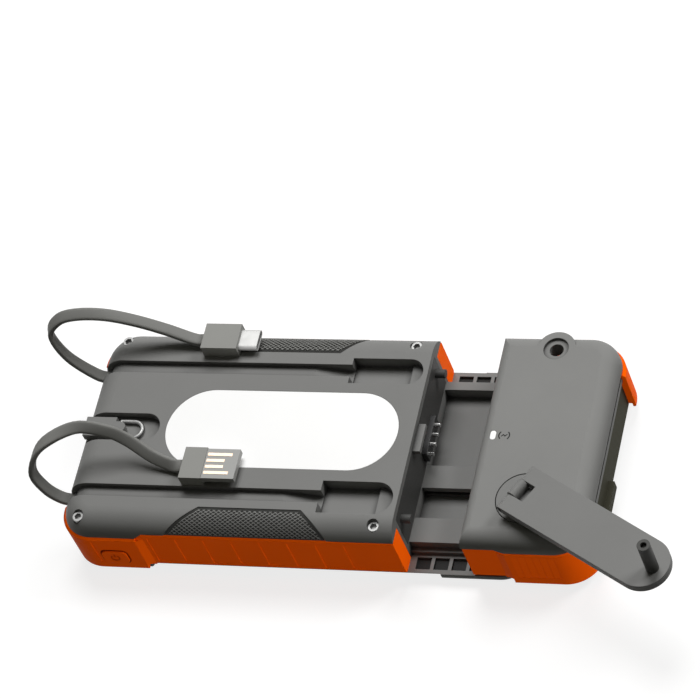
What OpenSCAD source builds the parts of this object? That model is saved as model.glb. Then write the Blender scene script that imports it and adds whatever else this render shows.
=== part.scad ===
// Solar power bank with a hand-crank generator module that slides off its end.
// Lies on its solar side: z = 0 is the resting face, x runs from the cable end to the crank end.

/* [View] */
// Which piece to show
// How far the crank module is pulled out in the rest pose
module_out = 24; // [0:1:40]

/* [Body] */
// Length with the crank module docked
total_l = 168; // [156:1:180]
// Length of the crank module
module_l = 43.5; // [41:0.5:46]
// Width over the waist of the side bumpers
body_w = 84; // [80:1:90]
// Thickness
body_h = 28.5; // [28:0.5:32]
// Plan radius of the corners
corner_r = 11; // [10:0.5:13]
// Radius of the rolled edge round the back
roll_r = 9; // [8:0.5:10]
// Radius of the round edge on the solar side
rim_r = 3.4; // [2.4:0.1:4.4]
// Shell wall thickness
wall = 2; // [1.6:0.1:2.4]
// Height of the joint between front shell and back cover, and of the tray rails
split_z = 9.3; // [8.5:0.1:10]
// Gap between fitted pieces
fit = 0.1; // [0.05:0.05:0.2]
// Gap between sliding pieces
slip = 0.3; // [0.2:0.05:0.4]

/* [Bumpers] */
// Lower edge of the bumpers
bumper_z0 = 4.5; // [4:0.1:5]
// Upper edge at the waist
bumper_z1 = 23.5; // [22.5:0.1:24]
// Upper edge at the corners
bumper_zc = 21.7; // [20.5:0.1:22]
// Thickness of the main bumpers
bumper_t = 6.6; // [6:0.1:7]
// Thickness of the module bumpers
bumper_tm = 4; // [3.6:0.1:4.4]
// How far the corners stand out
raise = 1.2; // [0.6:0.1:1.6]
// Length of the raised corner from the cable end
corner_l = 28.5; // [24:0.5:30]
// Length of the module bumper's waist
module_waist = 12; // [10:0.5:14]
// Length of the step between waist and corner
step_l = 3; // [2:0.5:4]
// Straight part of the bumpers on the end faces
wrap_l = 1; // [0.6:0.1:3]
// Edge bevel
bevel = 0.9; // [0.4:0.1:1.1]
// Pitch of the upright facets along the waist
facet_pitch = 10.4; // [8:0.2:13]
// Depth of a facet's deeper edge
facet_depth = 0.22; // [0.1:0.02:0.6]

/* [Solar side] */
// Solar panel length
panel_l = 148; // [140:1:150]
// Solar panel width
panel_w = 66; // [60:1:67]
// Panel corner radius
panel_r = 6; // [4:0.5:8]
// Depth of the panel's seat
panel_depth = 2.4; // [2.2:0.1:2.6]
// Depth of the film below the rim
panel_sink = 0.4; // [0.2:0.1:0.6]
// Film thickness
film_t = 0.6; // [0.4:0.1:0.7]
// Cell thickness
cell_t = 0.2; // [0.15:0.05:0.3]

/* [Lamp] */
// Lamp end to the loop slot
lamp_slot = 2.7; // [2.4:0.1:5]
// Lamp end to the parting face
lamp_gap = 5.7; // [5:0.1:8]
// Lamp side to the near plug recess
lamp_side = 4.45; // [4:0.05:6]
// Depth of the light box
lamp_skirt = 4; // [3:0.5:4.5]

/* [Cables] */
// Channel width
channel_w = 5; // [4.8:0.1:5.6]
// Channel depth
channel_d = 2; // [1.8:0.1:2.4]
// Near channel centre from the near side
channel_near = 15.1; // [14.5:0.1:16]
// Far channel centre from the far side
channel_far = 16.6; // [15.5:0.1:17]
// Plug recess length
recess_l = 26.7; // [25:0.1:28]
// Plug recess depth
recess_d = 5; // [4.5:0.1:5.5]
// Recess end to the parting face
recess_gap = 1.8; // [1.6:0.1:2.4]
// Near recess width
recess_near_w = 12.9; // [12.5:0.1:13.5]
// Far recess width
recess_far_w = 10.5; // [10:0.1:11]
// Flat cable width
cable_w = 4.6; // [4:0.1:4.7]
// Flat cable thickness
cable_t = 2.1; // [1.8:0.1:2.3]
// Height of the cable exits
exit_z = 21; // [20.5:0.1:21.5]

/* [Hanging loop] */
// Slot width
slot_w = 11.4; // [11:0.1:12.5]
// Slot length
slot_l = 29.8; // [28:0.1:31]
// Slot depth
slot_d = 3.2; // [3:0.1:3.6]
// Wire diameter
wire_d = 1.6; // [1.4:0.1:1.8]
// Loop length from its pivot
loop_l = 8.6; // [7.5:0.1:10]
// Pivot distance from the end face
loop_x = 13.8; // [13:0.1:14.4]
// Width of the pivot block
tongue_w = 7.9; // [7.4:0.1:8.6]
// Length of the pivot block
tongue_l = 16.4; // [15:0.1:17]

/* [Button] */
// Button width
button_w = 9.4; // [8:0.1:10.5]
// Button height
button_h = 7; // [6:0.1:8]
// Button centre from the cable end
button_x = 18.2; // [17:0.1:19.5]
// Button centre height
button_z = 10.7; // [9.6:0.1:10.8]
// Travel
button_travel = 0.8; // [0.4:0.1:1]

/* [Crank] */
// Hub distance from the crank end
hub_x = 23; // [22.5:0.1:23.5]
// Hub distance from the near side
hub_y = 17; // [16.5:0.1:17.5]
// Hub radius
hub_r = 9.6; // [9:0.1:9.8]
// Crank angle in the rest pose
arm_angle = -29.5; // [-60:0.5:0]
// Arm width
arm_w = 19; // [18:0.5:20]
// Arm thickness
arm_t = 3; // [2.6:0.1:3.2]
// Hinge height over the back
hinge_h = 4.3; // [4:0.1:4.6]
// Hinge axis behind the hub centre
hinge_back = 1.2; // [0.8:0.1:1.6]
// Hinge pin diameter
hinge_d = 1.6; // [1.4:0.1:1.8]
// Width of the hub's knuckle
knuckle_w = 6.4; // [6:0.1:7]
// Handle centre beyond the centre of the arm's round tip
handle_out = 4.4; // [0:0.1:5]
// Handle diameter
handle_d = 4.5; // [4:0.1:4.6]
// Handle height
handle_h = 14; // [12:0.5:14.5]
// Stow hole centre from the far side
stow_y = 5.8; // [5.6:0.1:7]
// Bore of the stow hole
stow_d = 5; // [4.9:0.1:5.4]

/* [Gears] */
// Tooth module
tooth_m = 0.5;
// Teeth of the drive gear
drive_n = 40;
// Teeth of the idler wheel
idler_n = 60;
// Teeth of both pinions
pinion_n = 10;
// Pressure angle
press_a = 28;
// Play between teeth
backlash = 0.1; // [0.06:0.02:0.14]
// Face width
gear_t = 2; // [1.8:0.1:2.1]

/* [Hidden] */
$fn = 64;
x0 = -total_l / 2;
x1 = total_l / 2;
px = x1 - module_l;
half_w = body_w / 2;
top = body_h;
// Rolled back: half width and plan radius at the corner bumpers' top edge
roll_reach = sqrt(roll_r * roll_r - pow(roll_r - (top - bumper_zc), 2));
back_out = 0.5;
back_hw = half_w + back_out;
back_rp = corner_r + back_out;
roll_y = back_hw - roll_reach;
tub_hw = half_w - bumper_t - fit;
tub_in = tub_hw - wall;
tub_x = x0 + bumper_t + fit;
end_gap = half_w - corner_r - wrap_l;
end_hw = end_gap - fit;
base_out = -0.15;
// Lower edge of the corners' lip, which hides the base's rim
lip_z0 = 3;
corner_pitch = facet_pitch / 4;
module_corner = module_l - module_waist - step_l;
// Foot of the waist's bevel on the solar side, clear of the panel
rim_in = max(half_w - 5, panel_w / 2 + 1.5);
base_hw = half_w + base_out;
near_y = channel_near - half_w;
far_y = half_w - channel_far;
lamp_x1 = px - lamp_gap;
lamp_x0 = x0 + slot_l + lamp_slot;
lamp_w = 2 * (-near_y - recess_near_w / 2 - lamp_side);
recess_x1 = px - recess_gap;
recess_x0 = recess_x1 - recess_l;
roof_z = top - wall;
screw_end = 7.7;
screw_part = 7;
screw_side = 4.8;
screw_xy = [for (x = [x0 + screw_end, px - screw_part], s = [-1, 1]) [x, s * (half_w - screw_side)]];
screw_d = 2.2;
head_d = 3.9;
post_d = 5.4;
post_z = 14;
cell_margin = 3.5;
led_l = 3.5;
led_w = 2.8;
led_t = 1;
led_pitch = 11;
led_y = 6;
cell_gap = 4.2;
cell_pitch = (panel_l - 2 * cell_margin) / 10;
// Grip pads: ends along the body at their lower edge, and how far the upper edge draws in
pad_x0 = x0 + corner_l + step_l + 5.5;
pad_x1 = px - 21.8;
pad_in0 = 15.5;
pad_in1 = 12.2;
pad_y = roll_y - 1.1;
pad_t = 0.75;
pad_sink = 0.15;
// Battery and boards
battery_t = 12;
battery_gap = 1;
battery_side = 1.2;
battery_end = 22;
board_l = 29;
board_side = 3.3;
board_post = 6.3;
board_hw = tub_in - board_side;
board_post_d = 5;
board_post_xy = [for (x = [px - board_l + 4, px - 6], s = [-1, 1]) [x, s * (tub_in - board_post)]];
coil_w = 10;
chip_w = 6;
block_w = 8;
can_d = 6;
// Dock, measured from the parting face
dock_y = 7;
dock_w = 16;
dock_z0 = 12.1;
dock_z1 = 16.9;
dock_out = 1.9;
pin_pitch = 4;
pin_y0 = dock_y - 0.8;
pin_z = 15.3;
pin_d = 1.5;
pin_out = 2;
peg_side = 12;
peg_y = half_w - peg_side;
plate_t = 0.9;
plate_side = 1.6;
plate_edge = 0.6;
peg_z = 20.8;
peg_d = 3.2;
peg_out = 3.6;
latch_hw = 5.65;
latch_z = 25.7;
latch_t = 1.7;
latch_out = 2.7;
board_z = 10.5;
board_t = dock_z0 - board_z;
// Lamp stack
flange_t = 1;
flange_w = 1.5;
lamp_board_z1 = roof_z - flange_t - lamp_skirt;
lamp_board_t = 1.2;
// Loop
loop_y = -0.3;
loop_z = top - slot_d + wire_d / 2 + 0.05;
wire_y = tongue_w / 2 - 0.45;
nose_w = 2 * (wire_y - wire_d / 2 - 0.4);
// Face of the switch that the button presses
switch_y = 1 - tub_in;
// Module
module_hw = half_w + 1;
module_roll_r = 6;
// Skirt of the module's end, between the end panel and the groove under the roll
skirt_z0 = 18.8;
skirt_z1 = 20.7;
panel_sunk = 1.1;
mx0 = px + slip;
m_hw = half_w - bumper_tm - fit;
m_in = m_hw - wall;
m_x1 = x1 - bumper_tm - fit;
plate_z0 = split_z + slip;
plate_z1 = plate_z0 + 1.5;
panel_x0 = x1 - wall;
hub_c = [x1 - hub_x, hub_y - half_w];
handle_x = body_w - hub_y - stow_y - 2 * hinge_back;
arm_u = [cos(arm_angle), sin(arm_angle)];
hinge_z = top + hinge_h;
notch_l = 4.2;
handle_axle_d = 2;
pin_r = handle_x + hinge_back;
// Stow hole: where the handle lands when the crank points straight across and the arm is folded over
stow_c = [hub_c[0], hub_c[1] + pin_r + hinge_back];
stow_depth = handle_h + 1;
boss_r = 7;
// Gear layers
hub_z0 = top - 1.6;
seat_z0 = hub_z0 - 1.3;
drive_z = seat_z0 - 0.4 - gear_t;
clip_z = drive_z - 0.5;
wheel_z = clip_z - 0.4 - gear_t;
can_z1 = wheel_z - 0.6;
can_r = 12;
drive_d = tooth_m * (drive_n + pinion_n) / 2;
wheel_d = tooth_m * (idler_n + pinion_n) / 2;
idler_c = hub_c + [0, drive_d];
rotor_c = idler_c + [0, wheel_d];
shaft_r = 2.9;
axle_r = 1.2;
rotor_r = 1;
module_screw_y = 17.7;
// Rectifier board's far end, clear of the screw bosses
rectifier_y1 = half_w - module_screw_y - 2.5 - 1.8;
module_screw_xy = [for (x = [mx0 + 5.2, m_x1 - 3], s = [-1, 1]) [x, s * (half_w - module_screw_y)]];
// Tray, across the body: rails of the front shell
rail_near = [9.9 - half_w, 19.75 - half_w];
rail_rib = [-10, -0.8];
rail_far = [half_w - 11, half_w - 7.6];
rail_end = 1.2;
rail_x1 = x1 - bumper_tm - rail_end;
runner_w = 3;
// Plugs and cables
plug_a = [px - 80.3, -17.5];
plug_c = [px - 85.2, 35.8];
plug_a_l = 8.3;
plug_a_w = 12.8;
plug_a_t = 4.6;
blade_l = 12.2;
blade_w = 12.2;
blade_t = 2.3;
blade_z = 2;
contact_pitch = 2.5;
plug_c_l = 13.6;
plug_c_w = 10.6;
plug_c_t = 5;
shell_l = 7;
shell_w = 8.4;
shell_t = 2.5;
route_a = [
    [x0 + channel_d, near_y, exit_z], [x0 - 2.7, near_y, exit_z + 1.3],
    [x0 - 7.3, -26.5, exit_z + 7], [x0 - 10.2, -24, exit_z + 14.5], [x0 - 6, -18, exit_z + 21.2],
    [x0 + 5, -10.8, exit_z + 22], [x0 + 16, -10, exit_z + 19], [x0 + 23, -11, exit_z + 15.2],
    [x0 + 32, -15, top + 4],
    [plug_a[0] - 4, plug_a[1], top + plug_a_t / 2], [plug_a[0], plug_a[1], top + plug_a_t / 2]
];
route_c = [
    [x0 + channel_d, far_y, exit_z], [x0 - 2.9, far_y, exit_z + 1.8],
    [x0 - 12.5, 28, exit_z + 9.3], [x0 - 17.3, 32, exit_z + 17.5], [x0 - 13.5, 35, exit_z + 22.2],
    [x0 - 6.5, 36.8, exit_z + 23], [x0 + 3.5, 37.8, exit_z + 21.6], [x0 + 14, 38, exit_z + 18],
    [x0 + 25, 37.4, top + 6],
    [plug_c[0] - 4, plug_c[1], top + plug_c_t / 2], [plug_c[0], plug_c[1], top + plug_c_t / 2]
];

// Box between two corners
module box(a, b) translate(a) cube(b - a);

// Rectangle with round corners, centred across
module round_rect(xa, xb, hw, r) {
    translate([xa + r, -hw]) square([xb - xa - 2 * r, 2 * hw]);
    translate([xa, r - hw]) square([xb - xa, 2 * (hw - r)]);
    for (x = [xa + r, xb - r], s = [-1, 1]) translate([x, s * (hw - r)]) circle(r);
}

// Stadium along x
module stadium(xa, xb, w) {
    translate([xa + w / 2, -w / 2]) square([xb - xa - w, w]);
    for (x = [xa + w / 2, xb - w / 2]) translate([x, 0]) circle(w / 2);
}

// Half section of a block whose upper edge rolls over; the flat part ends at inner
module roll_section(inner, z0, z1, r) {
    translate([0, z0]) square([inner, z1 - z0]);
    if (z1 - r > z0) translate([0, z0]) square([inner + r, z1 - r - z0]);
    intersection() {
        translate([inner, z1 - r]) circle(r);
        translate([0, z0]) square([inner + r, z1 - z0]);
    }
}

// Extrude a section (outward, up) along x or y
module along_x(xa, xb) translate([xa, 0, 0]) rotate([90, 0, 90]) linear_extrude(xb - xa) children();
module along_y(ya, yb) translate([0, yb, 0]) rotate([90, 0, 0]) linear_extrude(yb - ya) children();

// Block with a rolled upper edge all round; rp is the plan radius at its foot
module rolled_block(xa, xb, hw, z0, z1, rp, r) {
    reach = r < z1 - z0 ? r : sqrt(r * r - pow(r - (z1 - z0), 2));
    inner = rp - reach;
    knit = inner * 0.6;
    box([xa + rp, rp - hw, z0], [xb - rp, hw - rp, z1]);
    for (s = [0, 1]) mirror([0, s, 0])
        translate([0, hw - rp, 0]) along_x(xa + rp, xb - rp) roll_section(inner, z0, z1, r);
    translate([xb - rp, 0, 0]) along_y(rp - hw, hw - rp) roll_section(inner, z0, z1, r);
    translate([xa + rp, 0, 0]) mirror([1, 0, 0]) along_y(rp - hw, hw - rp) roll_section(inner, z0, z1, r);
    for (k = [0:3]) translate([k % 3 == 0 ? xb - rp : xa + rp, k < 2 ? hw - rp : rp - hw, 0])
        rotate(k * 90) {
            rotate_extrude(angle = 90) roll_section(inner, z0, z1, r);
            box([-1, -1, z0], [knit, knit, z1]);
        }
}

// Plan of the main body inside its bumpers, drawn in by inset and cut straight at xe
module tub_plan(inset, xe) intersection() {
    round_rect(tub_x + inset, px + 20, tub_hw - inset, corner_r - bumper_t - fit - inset);
    translate([x0, -half_w]) square([xe - x0, body_w]);
}

// Zone over the waist bumpers that the rolled back leaves free; from xs the step rises toward +x or -x
module waist_zone(xs, xe, dir) for (s = [-1, 1])
    along_y(s > 0 ? tub_hw : -half_w - 5, s > 0 ? half_w + 5 : -tub_hw)
        polygon([[xs, bumper_zc - 1], [xs, bumper_zc], [xs + dir * step_l, bumper_z1], [xe, bumper_z1],
            [xe, bumper_zc - 1]]);

// Bumper section across: inner face at d0, outer face at d1
module bumper_section(d0, d1, z0, z1) polygon([[d0, z0], [d1 - bevel, z0], [d1, z0 + bevel],
    [d1, z1 - bevel], [d1 - bevel, z1], [d0, z1]]);

// Lip under a raised corner, between d0 and d1 across
module lip_section(d0, d1, z0) polygon([[d0, lip_z0], [d1 - 0.4, lip_z0], [d1, lip_z0 + 0.4],
    [d1, z0 + 2], [d0, z0 + 2]]);

// Far-side bumper of length long from xe: a raised corner that wraps onto the end face, a step, the waist.
// The corner has facets cp long from each of creases.
module bumper(xe, corner, long, t, z0, cp, creases) {
    rc = corner_r;
    xs = xe + corner;
    xw = xs + step_l;
    xp = xe + long;
    difference() {
        union() {
            along_x(xw, xp) bumper_section(half_w - t, half_w, z0, bumper_z1);
            along_x(xe + rc, xs) bumper_section(half_w - t, half_w + raise, z0, bumper_zc);
            along_y(half_w - t, half_w) polygon([[xs, z0], [xs, bumper_zc],
                [xw, bumper_z1], [xw, z0]]);
            translate([0, 0, z0 + bevel]) linear_extrude(bumper_zc - z0 - 2 * bevel)
                polygon([[xs, half_w - t], [xw, half_w - t], [xw, half_w], [xs, half_w + raise]]);
            translate([xe + rc, half_w - rc, 0]) rotate(90) rotate_extrude(angle = 90)
                bumper_section(rc - t, rc + raise, z0, bumper_zc);
            translate([xe, 0, 0]) mirror([1, 0, 0]) along_y(end_gap, half_w - rc)
                bumper_section(-t, raise, z0, bumper_zc);
            along_x(xe + rc, xs) lip_section(half_w + fit, half_w + raise, z0);
            translate([xe + rc, half_w - rc, 0]) rotate(90) rotate_extrude(angle = 90)
                lip_section(rc + fit, rc + raise, z0);
            translate([xe, 0, 0]) mirror([1, 0, 0]) along_y(end_gap, half_w - rc)
                lip_section(fit, raise, z0);
            // Cores that knit the pieces above
            box([xe + rc - 0.5, half_w - t + 0.4, z0 + 0.4],
                [xw + 1, half_w - bevel - 0.4, bumper_zc - 0.4]);
            box([xe + bevel + 0.4, half_w - rc - wrap_l / 2, z0 + 0.4],
                [xe + t - 0.4, half_w - rc + 0.5, bumper_zc - 0.4]);
        }
        for (x = [xw + 1.5 : facet_pitch : xp - facet_pitch])
            facet(x, facet_pitch, half_w, facet_depth, z0, bumper_z1);
        for (x = creases) facet(xe + x, cp, half_w + raise, facet_depth, z0, bumper_zc);
    }
}

// Cut of one upright facet in a bumper's face: deepest at x, running out over its pitch
module facet(x, pitch, y, d, z0, z1) translate([0, 0, z0 + 2.2]) linear_extrude(z1 - z0 - 4.4)
    polygon([[x, y + 1], [x, y - d], [x + pitch - 0.4, y], [x + pitch - 0.4, y + 1]]);

// Outline of a grip pad in plan, on the far side
module pad_plan(gap) polygon([[pad_x0 + pad_in0 + gap, pad_y + gap], [pad_x1 - pad_in1 - gap, pad_y + gap],
    [pad_x1 - gap, half_w + 2], [pad_x0 + gap, half_w + 2]]);

module roll_bar(r) translate([pad_x0 - 5, roll_y, top - roll_r]) rotate([0, 90, 0])
    cylinder(r = r, h = pad_x1 - pad_x0 + 10);

// Grip pad on the far side: a rubber sheet let into the rolled edge
module grip_pad() intersection() {
    difference() {
        roll_bar(roll_r - pad_sink);
        roll_bar(roll_r - pad_sink - pad_t);
    }
    translate([0, 0, bumper_z1 + fit]) linear_extrude(top) pad_plan(fit);
}

// Cable channel in the back: follows the end face and the roll at an even depth, then ramps to the recess
module channel(y) {
    r = roll_r - channel_d;
    along_y(y - channel_w / 2, y + channel_w / 2) difference() {
        translate([x0 - 5, exit_z - 3]) square([recess_x0 - x0 + 6, top - exit_z + 8]);
        translate([x0 + channel_d + r, top - channel_d - r]) circle(r);
        translate([x0 + channel_d, exit_z - 9]) square([total_l, top - channel_d - r - exit_z + 9]);
        difference() {
            translate([x0 + channel_d + r, exit_z - 9]) square([total_l, top - channel_d - exit_z + 9]);
            polygon([[recess_x0 - 14, top], [recess_x0 - 14, top - channel_d],
                [recess_x0 + 4, top - recess_d], [recess_x0 + 4, top]]);
        }
    }
}

// Plug recess: a straight pocket with a shallower round finger end
module recess(y, w) {
    xr = recess_x1 - w / 2;
    box([recess_x0, y - w / 2, top - recess_d], [xr, y + w / 2, top + 1]);
    translate([xr, y, top - recess_d + 1.6]) cylinder(d = w, h = recess_d);
}

// Outline of the loop slot, open at the end face
module slot_plan(grow) translate([0, loop_y]) {
    translate([x0 - 8, -slot_w / 2 - grow]) square([slot_l + 8 - slot_w / 2, slot_w + 2 * grow]);
    translate([x0 + slot_l - slot_w / 2, 0]) circle(slot_w / 2 + grow);
}

// Rounded rectangle of the button, standing in the bumper's face
module button_plan(grow) {
    w = button_w + 2 * grow;
    h = button_h + 2 * grow;
    r = 1.8 + grow;
    for (s = [-1, 1], t = [-1, 1]) translate([s * (w / 2 - r), t * (h / 2 - r)]) circle(r);
    square([w - 2 * r, h], center = true);
    square([w, h - 2 * r], center = true);
}
module button_at(y0, y1, grow) translate([x0 + button_x, 0, button_z]) along_y(y0, y1) button_plan(grow);
module stem_at(y0, y1, d) translate([x0 + button_x, y0, button_z]) rotate([-90, 0, 0])
    cylinder(d = d, h = y1 - y0);

// Involute gear: teeth centred on the x axis, thinned by half the play
function inv_at(r, rb) = let (a = acos(min(1, rb / r))) tan(a) * 180 / PI - a;
function flank(n, r) = let (rp = tooth_m * n / 2, rb = rp * cos(press_a))
    90 / n + inv_at(rp, rb) - inv_at(max(r, rb), rb) - backlash / 4 / rp * 180 / PI;
module gear(n, t, bore) difference() {
    gear_blank(n, t);
    translate([0, 0, -1]) cylinder(r = bore, h = t + 2);
}
module gear_blank(n, t) {
    rp = tooth_m * n / 2;
    ra = rp + 0.9 * tooth_m;
    rf = rp - 1.2 * tooth_m;
    rb = max(rf + 0.02, rp * cos(press_a));
    rs = [for (i = [0:4]) rb + (ra - rb) * i / 4];
    pts = [for (k = [0:n - 1]) let (a = k * 360 / n) each concat(
        [rf * [cos(a - flank(n, rb)), sin(a - flank(n, rb))]],
        [for (r = rs) r * [cos(a - flank(n, r)), sin(a - flank(n, r))]],
        [for (i = [4:-1:0]) let (r = rs[i]) r * [cos(a + flank(n, r)), sin(a + flank(n, r))]],
        [rf * [cos(a + flank(n, rb)), sin(a + flank(n, rb))]])];
    linear_extrude(t) polygon(pts);
}

// Flat cable swept along a smooth curve through its route points
function spline(p, i, t) = let (
    a = p[max(i - 1, 0)], b = p[i], c = p[i + 1], d = p[min(i + 2, len(p) - 1)])
    0.5 * (2 * b + (c - a) * t + (2 * a - 5 * b + 4 * c - d) * t * t + (3 * b - a - 3 * c + d) * t * t * t);
function unit(v) = v / norm(v);
module flat_cable(route) {
    steps = 5;
    path = concat([for (i = [0:len(route) - 2], k = [0:steps - 1]) spline(route, i, k / steps)],
        [route[len(route) - 1]]);
    n = len(path);
    dirs = [for (i = [0:n - 1]) i == 0 ? [-1, 0, 0] : i == n - 1 ? [1, 0, 0]
        : unit(path[i + 1] - path[i - 1])];
    w = cable_w / 2;
    h = cable_t / 2;
    c = h * 0.55;
    ring = [[w, c - h], [w, h - c], [w - c, h], [c - w, h],
        [-w, h - c], [-w, c - h], [c - w, -h], [w - c, -h]];
    pts = [for (i = [0:n - 1])
        let (side = unit([0, 1, 0] - dirs[i][1] * dirs[i]), up = cross(dirs[i], side))
        each [for (q = ring) path[i] + q[0] * side + q[1] * up]];
    faces = concat([[for (j = [0:7]) j]], [[for (j = [7:-1:0]) (n - 1) * 8 + j]],
        [for (i = [0:n - 2], j = [0:7]) let (k = (j + 1) % 8) each
            [[i * 8 + j, (i + 1) * 8 + j, i * 8 + k], [i * 8 + k, (i + 1) * 8 + j, (i + 1) * 8 + k]]]);
    polyhedron(pts, faces);
}

module front_shell() color("DimGray") {
    difference() {
        union() {
            mirror([0, 0, 1]) rolled_block(x0 - base_out, x1 + base_out, base_hw, -bumper_z0, 0,
                corner_r + base_out, rim_r);
            // Tub under the back cover
            translate([0, 0, bumper_z0]) linear_extrude(split_z - bumper_z0) tub_plan(0, px);
            box([x0, -end_hw, bumper_z0], [tub_x + 5, end_hw, split_z]);
            // Tray rails
            for (r = [rail_near, rail_rib, rail_far])
                box([px - 1, r[0], bumper_z0 - 1], [rail_x1, r[1], split_z]);
            box([px - 1, -m_hw + bumper_tm, bumper_z0 - 1], [rail_x1, rail_near[0] + 1, bumper_z0 + 1.5]);
            // Screw posts inside the main bumpers
            for (p = screw_xy) translate([p[0], p[1], bumper_z0 - 1])
                cylinder(d = post_d, h = post_z - bumper_z0 + 1);
            // Board posts
            for (p = board_post_xy) translate([p[0], p[1], bumper_z0 - 1])
                cylinder(d = board_post_d, h = board_z - bumper_z0 + 1);
        }
        // Room inside
        translate([0, 0, bumper_z0]) linear_extrude(split_z) difference() {
            tub_plan(wall, px - wall);
            for (p = board_post_xy) translate(p) circle(d = board_post_d);
        }
        // Solar panel seat
        translate([0, 0, -1]) linear_extrude(panel_depth + 1)
            round_rect(-panel_l / 2 - fit, panel_l / 2 + fit, panel_w / 2 + fit, panel_r + fit);
        // Bevelled waist along the solar side
        for (s = [0, 1]) mirror([0, s, 0]) along_x(x0 + corner_l, px + module_waist)
            polygon([[rim_in, -1], [rim_in, 0], [half_w - 0.4, bumper_z0], [half_w - 0.4, bumper_z0 + 1],
                [half_w + 9, bumper_z0 + 1], [half_w + 9, -1]]);
        // Ladder pockets beside the rails
        for (x = [px + 2.5 : 6.5 : x1 - 12], s = [0, 1]) mirror([0, s, 0])
            box([x, m_hw - 2.6, bumper_z0 - 1.3], [x + 5.2, half_w - 2, bumper_z0 + 1]);
        // Grooves under the rib's head, for the module's lips
        for (y = rail_rib) box([px, y - 1.3, bumper_z0 + 0.8], [x1, y + 1.3, bumper_z0 + 2.6]);
        for (p = screw_xy) translate([p[0], p[1], 3]) cylinder(d = screw_d, h = post_z);
        stem_at(-tub_hw - 1, -tub_in + 1, 3.4);
    }
}

module solar_panel() color("MidnightBlue") translate([0, 0, panel_sink + film_t + cell_t])
    linear_extrude(panel_depth - panel_sink - film_t - cell_t)
        round_rect(-panel_l / 2, panel_l / 2, panel_w / 2, panel_r);

module solar_cells() color("Indigo") for (i = [0:9], s = [0, 1]) mirror([0, s, 0])
    box([cell_pitch * (i - 5) + 0.8, cell_gap / 2, panel_sink + film_t],
        [cell_pitch * (i - 4) - 0.8, panel_w / 2 - cell_margin, panel_sink + film_t + cell_t]);

module solar_film() color("SlateBlue", 0.5) translate([0, 0, panel_sink]) linear_extrude(film_t)
    round_rect(-panel_l / 2, panel_l / 2, panel_w / 2, panel_r);

module back_cover() color("Gray") difference() {
    union() {
        difference() {
            intersection() {
                rolled_block(x0, px + 30, back_hw, bumper_zc, top, back_rp, roll_r);
                box([x0 - 5, -half_w - 5, 0], [px, half_w + 5, top + 1]);
            }
            waist_zone(x0 + corner_l, px + 1, 1);
            cover_room(roof_z);
        }
        difference() {
            union() {
                translate([0, 0, split_z]) linear_extrude(bumper_z1 - split_z) tub_plan(0, px);
                box([x0, -end_hw, split_z], [tub_x + 5, end_hw, bumper_zc]);
            }
            cover_room(roof_z);
        }
        // Beds under the channels, recesses and slot
        bed(far_y, channel_w, channel_d, tub_x, recess_x0);
        bed(near_y, channel_w, channel_d, tub_x, recess_x0);
        bed(far_y, recess_far_w, recess_d, recess_x0 - 14, recess_x1);
        bed(near_y, recess_near_w, recess_d, recess_x0 - 14, recess_x1);
        bed(loop_y, slot_w, slot_d, tub_x, x0 + slot_l);
        // Latch bar on the parting face
        latch_bar(px - 1, px + latch_out, 0);
    }
    channel(far_y);
    channel(near_y);
    recess(far_y, recess_far_w);
    recess(near_y, recess_near_w);
    translate([0, 0, top - slot_d]) linear_extrude(slot_d + 1) slot_plan(0);
    translate([0, 0, roof_z - 1]) linear_extrude(wall + 2)
        stadium(lamp_x0 - fit, lamp_x1 + fit, lamp_w + 2 * fit);
    for (s = [0, 1]) mirror([0, s, 0]) difference() {
        translate([0, 0, bumper_z1 - 1]) linear_extrude(top) pad_plan(0);
        roll_bar(roll_r - pad_sink - pad_t - 0.05);
        box([pad_x0 - 10, 0, 0], [pad_x1 + 5, pad_y - 1, top]);
    }
    for (p = screw_xy) {
        translate([p[0], p[1], bumper_zc - 1]) cylinder(d = screw_d + 0.4, h = top);
        translate([p[0], p[1], top - 4]) cylinder(d = head_d + 0.4, h = top);
    }
    connector_block(px - wall - 1, px + 1, fit);
    pegs(px - wall - 1, px + 6, fit / 2);
    difference() {
        plate_block(px - plate_t, px + 1, 0);
        latch_bar(px - 5, px + 5, 0);
    }
    for (p = screw_xy) translate([p[0], p[1], 0]) cylinder(d = post_d + 2 * fit, h = post_z + fit);
    stem_at(-tub_hw - 1, -tub_in + 1, 3.4);
    for (y = [far_y, near_y]) gland_hole(y);
}

// Room inside the main body, up to z
module cover_room(z) translate([0, 0, split_z - 1]) linear_extrude(z - split_z + 1)
    tub_plan(wall, px - wall);

// Solid under a cut in the roof
module bed(y, w, d, xa, xb) box([xa, y - w / 2 - 1.4, top - d - 1.4],
    [xb + 1, y + w / 2 + 1.4, roof_z + 0.5]);

module gland_hole(y) translate([0, y, exit_z])
    box([x0 - 1, -channel_w / 2, -1.9], [tub_x + wall + 1, channel_w / 2, 1.9]);

// Plate in the parting wall from xa to xb, drawn in by inset
module plate_block(xa, xb, inset) {
    hw = tub_hw - plate_side - inset;
    box([xa, -hw, split_z + plate_edge + inset], [xb, hw, roof_z - plate_edge - inset]);
}

// What passes through the parting wall, between xa and xb: connector, latch bar and pegs, widened by gap
module connector_block(xa, xb, gap) box([xa, dock_y - dock_w / 2 - gap, dock_z0 - gap],
    [xb, dock_y + dock_w / 2 + gap, dock_z1 + gap]);
module latch_bar(xa, xb, gap) box([xa, -latch_hw - gap, latch_z - latch_t - gap],
    [xb, latch_hw + gap, latch_z + gap]);
module pegs(xa, xb, gap) for (s = [-1, 1]) translate([xa, s * peg_y, peg_z]) rotate([0, 90, 0])
    cylinder(d = peg_d + 2 * gap, h = xb - xa);

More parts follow.
